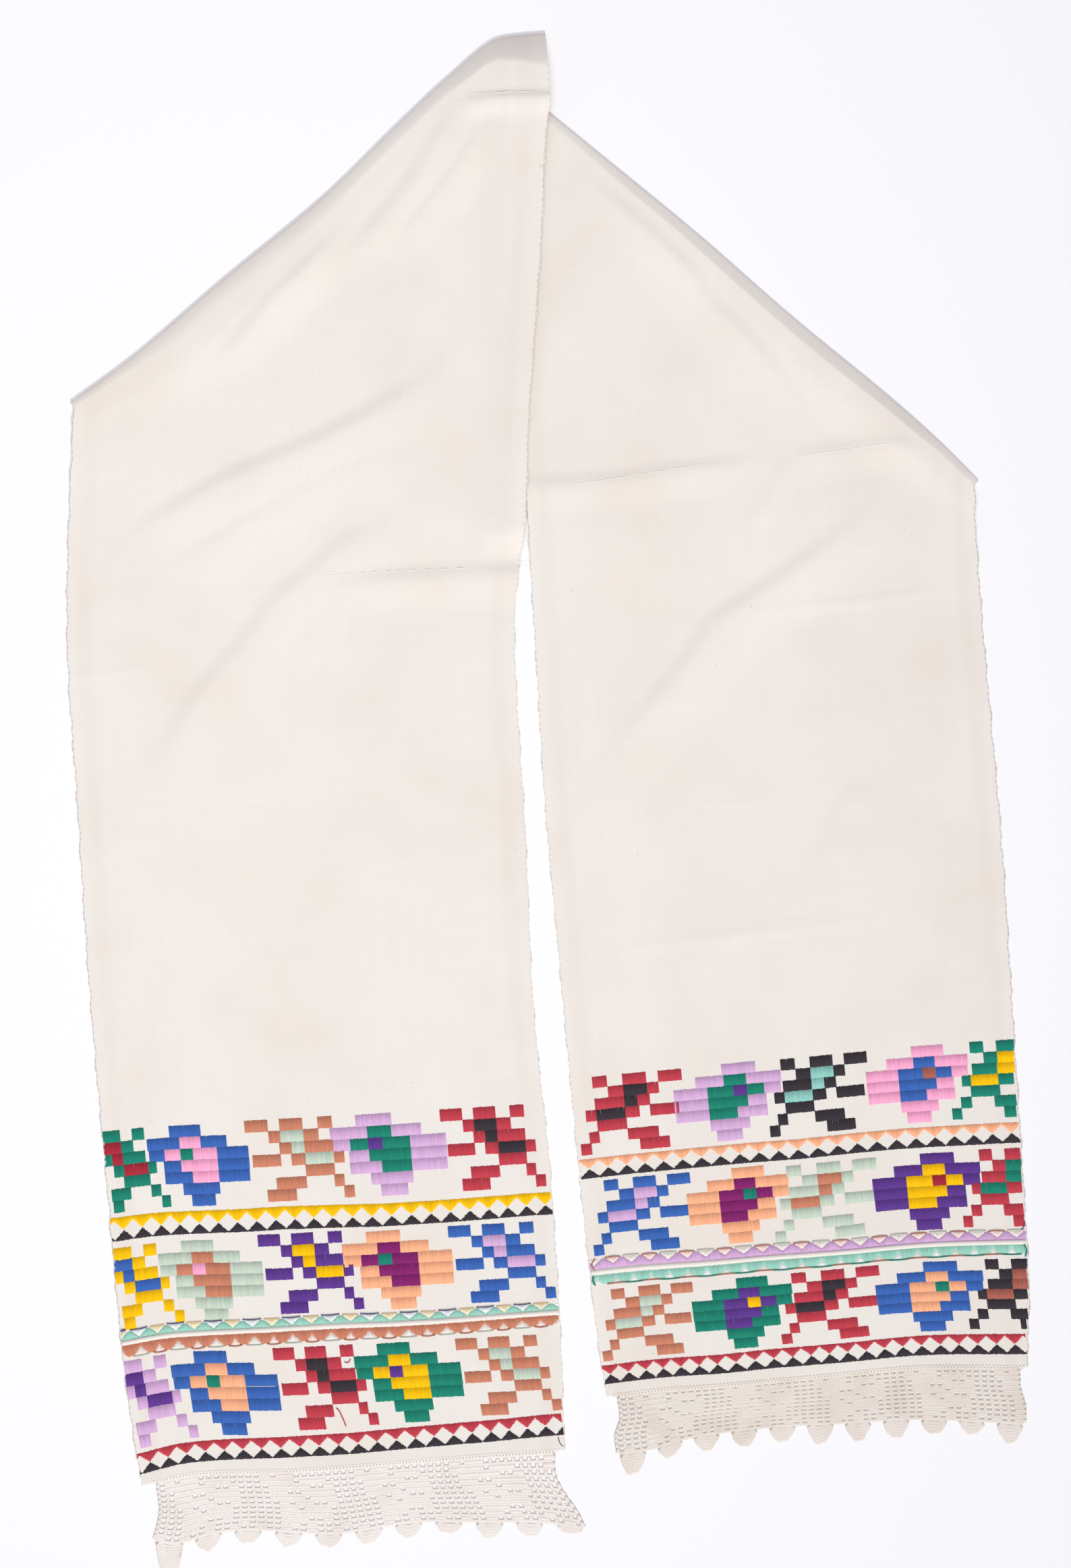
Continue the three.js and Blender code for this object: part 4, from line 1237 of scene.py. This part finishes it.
def lace_patch(lace, hem):
    """A function from shares along and down the edging to places x, y."""
    def seam(along):
        place = hem.at(hem.length * mix(*lace["hem_shares"], along))
        return place - np.array([0, SEAM_GAP])

    left_side = SoftLine([seam(0), *lace["left"]])
    right_side = SoftLine([seam(1), *lace["right"]])
    valley_line = SoftLine(lace["valleys"])

    def patch(along, down):
        along, down = np.broadcast_arrays(np.asarray(along, float), np.asarray(down, float))
        between = mix(seam(along), valley_line.at(along * valley_line.length), down)
        sides = mix(left_side.at(down * left_side.length), right_side.at(down * right_side.length), along)
        seam_chord = mix(seam(0), seam(1), along)
        valley_chord = mix(valley_line.at(0), valley_line.at(valley_line.length), along)
        return between + sides - mix(seam_chord, valley_chord, down)
    return patch


def raised(places, height):
    """Places x, y at a height."""
    return np.concatenate([places, np.full(places.shape[:-1] + (1,), float(height))], -1)


def chain(line, fullness, pressed):
    """A chain of crochet stitches along one line of points, as a beaded strand."""
    run = run_along(line)
    places = np.linspace(0, run[-1], max(3, round(run[-1] / CHAIN_STEP)))
    beads = CHAIN_RADIUS * fullness + CHAIN_SWELL * np.cos(2 * math.pi * places / CHAIN_PITCH)
    return tubes(read_line(line, run, places)[None], beads[None], flatten=CHAIN_FLATTEN * pressed / fullness)


def lace_mesh(lace, hem, random):
    """Points and faces of one edging."""
    patch = lace_patch(lace, hem)
    columns, fullness, pressed = lace["columns"], lace["fullness"], lace["pressed"]
    level = THREAD_HEIGHT * pressed

    def grid(column, row):
        return patch(mix(GRID_SIDE_MARGIN, 1 - GRID_SIDE_MARGIN, np.asarray(column) / columns),
                     mix(GRID_TOP_MARGIN, 1 - GRID_BOTTOM_MARGIN, np.asarray(row) / MESH_ROWS))

    posts = []
    for row, course in enumerate(LACE_REPEAT):
        for column in range(columns + 1):
            filled = column < columns and course[(column - lace["lead"]) % len(course)] == "."
            posts += [(column + i / POSTS_PER_MESH, row) for i in range(POSTS_PER_MESH if filled else 1)]
    posts = np.array(posts)
    posts_down = posts[:, None, 1] + np.linspace(0, 1, len(POST_WAIST))
    posts_along = posts[:, None, 0] + random.uniform(-POST_WANDER, POST_WANDER, posts_down.shape)
    swell = np.array(POST_WAIST) * random.uniform(*POST_SPREAD, (len(posts), 1))
    meshes = [tubes(raised(grid(posts_along, posts_down), level), POST_RADIUS * fullness * swell,
                    flatten=POST_FLATTEN * pressed / fullness)]

    steps = np.linspace(0, columns, CHAIN_POINTS_PER_MESH * columns)
    for row in range(MESH_ROWS + 1):
        meshes.append(chain(raised(grid(steps, row), level + CHAIN_RISE), fullness, pressed))

    along = np.linspace(0, 1, SCALLOP_POINTS_PER_MESH * columns)
    scallops = np.array(lace["scallops"])
    wave = along * len(scallops)
    number = np.minimum(wave.astype(int), len(scallops) - 1)
    from_middle = np.abs(wave - number - 0.5) / SCALLOP_HALF_WIDTH
    ragged = np.prod([np.sin(along * columns * waves) for waves in RAGGED_WAVES], 0)
    depth = scallops[number] * np.maximum(0, 1 - from_middle ** SCALLOP_ROUNDNESS)
    depth = depth * (1 + SCALLOP_RAGGED * ragged)
    root = patch(along, 1)
    hang = np.stack([0 * depth, depth], -1)
    for scallop, greatest in enumerate(scallops):
        own = (number == scallop) & (depth > LEAST_SCALLOP)
        courses = round(greatest / SCALLOP_COURSE_DEPTH)
        for share in np.arange(courses + 1) / courses:
            meshes.append(chain(raised((root - share * hang)[own], level), fullness, pressed))
    spokes = slice(0, None, round(SPOKE_SPACING / np.linalg.norm(root[1] - root[0])))
    spoke_lines = root[spokes, None] - np.linspace(0, 1, SPOKE_POINTS)[:, None] * hang[spokes, None]
    spoke_lines = raised(spoke_lines, level)[depth[spokes] > LEAST_SPOKE]
    meshes.append(tubes(spoke_lines, SPOKE_RADIUS, flatten=POST_FLATTEN * pressed))
    return joined(meshes)


# Unbleached crochet cotton: hard-twisted and matte, as pale as the cloth, with warm age marks
TWIST_PITCH = 1.1
AGE_MARK_SIZE = 30


def crochet_material(name, colour, aged_colour):
    """Crochet cotton of one edging, in its colour where clean and where aged."""
    material, tree, shader = new_material(name)
    place = add_node(tree, "ShaderNodeTexCoord").outputs["Object"]
    twist = add_node(
        tree, "ShaderNodeTexNoise", {"Vector": place, "Scale": 1 / (TWIST_PITCH * MM), "Detail": 2.0})
    bump = add_node(tree, "ShaderNodeBump", {"Strength": 0.4, "Distance": 0.3 * MM,
                                             "Height": twist.outputs["Fac"]})
    age = add_node(
        tree, "ShaderNodeTexNoise", {"Vector": place, "Scale": 1 / (AGE_MARK_SIZE * MM), "Detail": 3.0})
    age_share = add_node(tree, "ShaderNodeMapRange", {"Value": age.outputs["Fac"], "From Min": 0.45,
                                                      "From Max": 0.75, "To Min": 0.0, "To Max": 0.8})
    aged = add_node(
        tree, "ShaderNodeMix", {0: age_share.outputs[0], 6: linear(colour), 7: linear(aged_colour)},
        data_type="RGBA")
    tree.links.new(aged.outputs[2], shader.inputs["Base Color"])
    tree.links.new(bump.outputs[0], shader.inputs["Normal"])
    shader.inputs["Roughness"].default_value = 0.9
    shader.inputs["Specular IOR Level"].default_value = 0.2
    return material


# The right edging's cotton is a little darker and yellower than the left's
pale_crochet = crochet_material("crochet_cotton_pale", "#F6EFE9", "#EDE3D9")
darker_crochet = crochet_material("crochet_cotton_darker", "#EEE6DD", "#E2D5C7")

# Overcast stitches, of the edging's own thread
OVERCAST_SPACING = 2.6
OVERCAST_REACH = 1.6
OVERCAST_RADIUS = 0.75
OVERCAST_LEAN = 0.5
OVERCAST_LIFT = 0.3
OVERCAST_STEPS = 5


def overcast_mesh(lace, leg):
    """Slanting stitches over the seam, from the hem down onto the edging."""
    ends = lace["hem_shares"]
    count = round(leg["hem"].length * abs(ends[1] - ends[0]) / OVERCAST_SPACING)
    seam = leg_points(leg, np.linspace(*ends, count), 0, 0)
    run = np.linspace(-1, 1, OVERCAST_STEPS)
    lines = seam[:, None] + np.stack([OVERCAST_LEAN * run, OVERCAST_REACH * run, 0 * run], -1)
    hem_face = seam[:, None, 2] + CLOTH_THICKNESS / 2 + HEM_LIFT
    lace_face = (THREAD_HEIGHT + POST_RADIUS * POST_FLATTEN) * lace["pressed"]
    lines[..., 2] = mix(lace_face, hem_face, (1 + run) / 2) + OVERCAST_LIFT * (1 - run ** 2)
    return tubes(lines, OVERCAST_RADIUS, flatten=CHAIN_FLATTEN)


for name, lace, leg, crochet, node_name in (
        ("lace_edging_left", LEFT_LACE, left_leg, pale_crochet, "lace_left"),
        ("lace_edging_right", RIGHT_LACE, right_leg, darker_crochet, "lace_right")):
    edging_mesh = lace_mesh(lace, leg["hem"], np.random.default_rng(11))
    edging = add_piece(name, *joined([edging_mesh, overcast_mesh(lace, leg)]), crochet)
    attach(edging, "root")
    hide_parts(node_name)
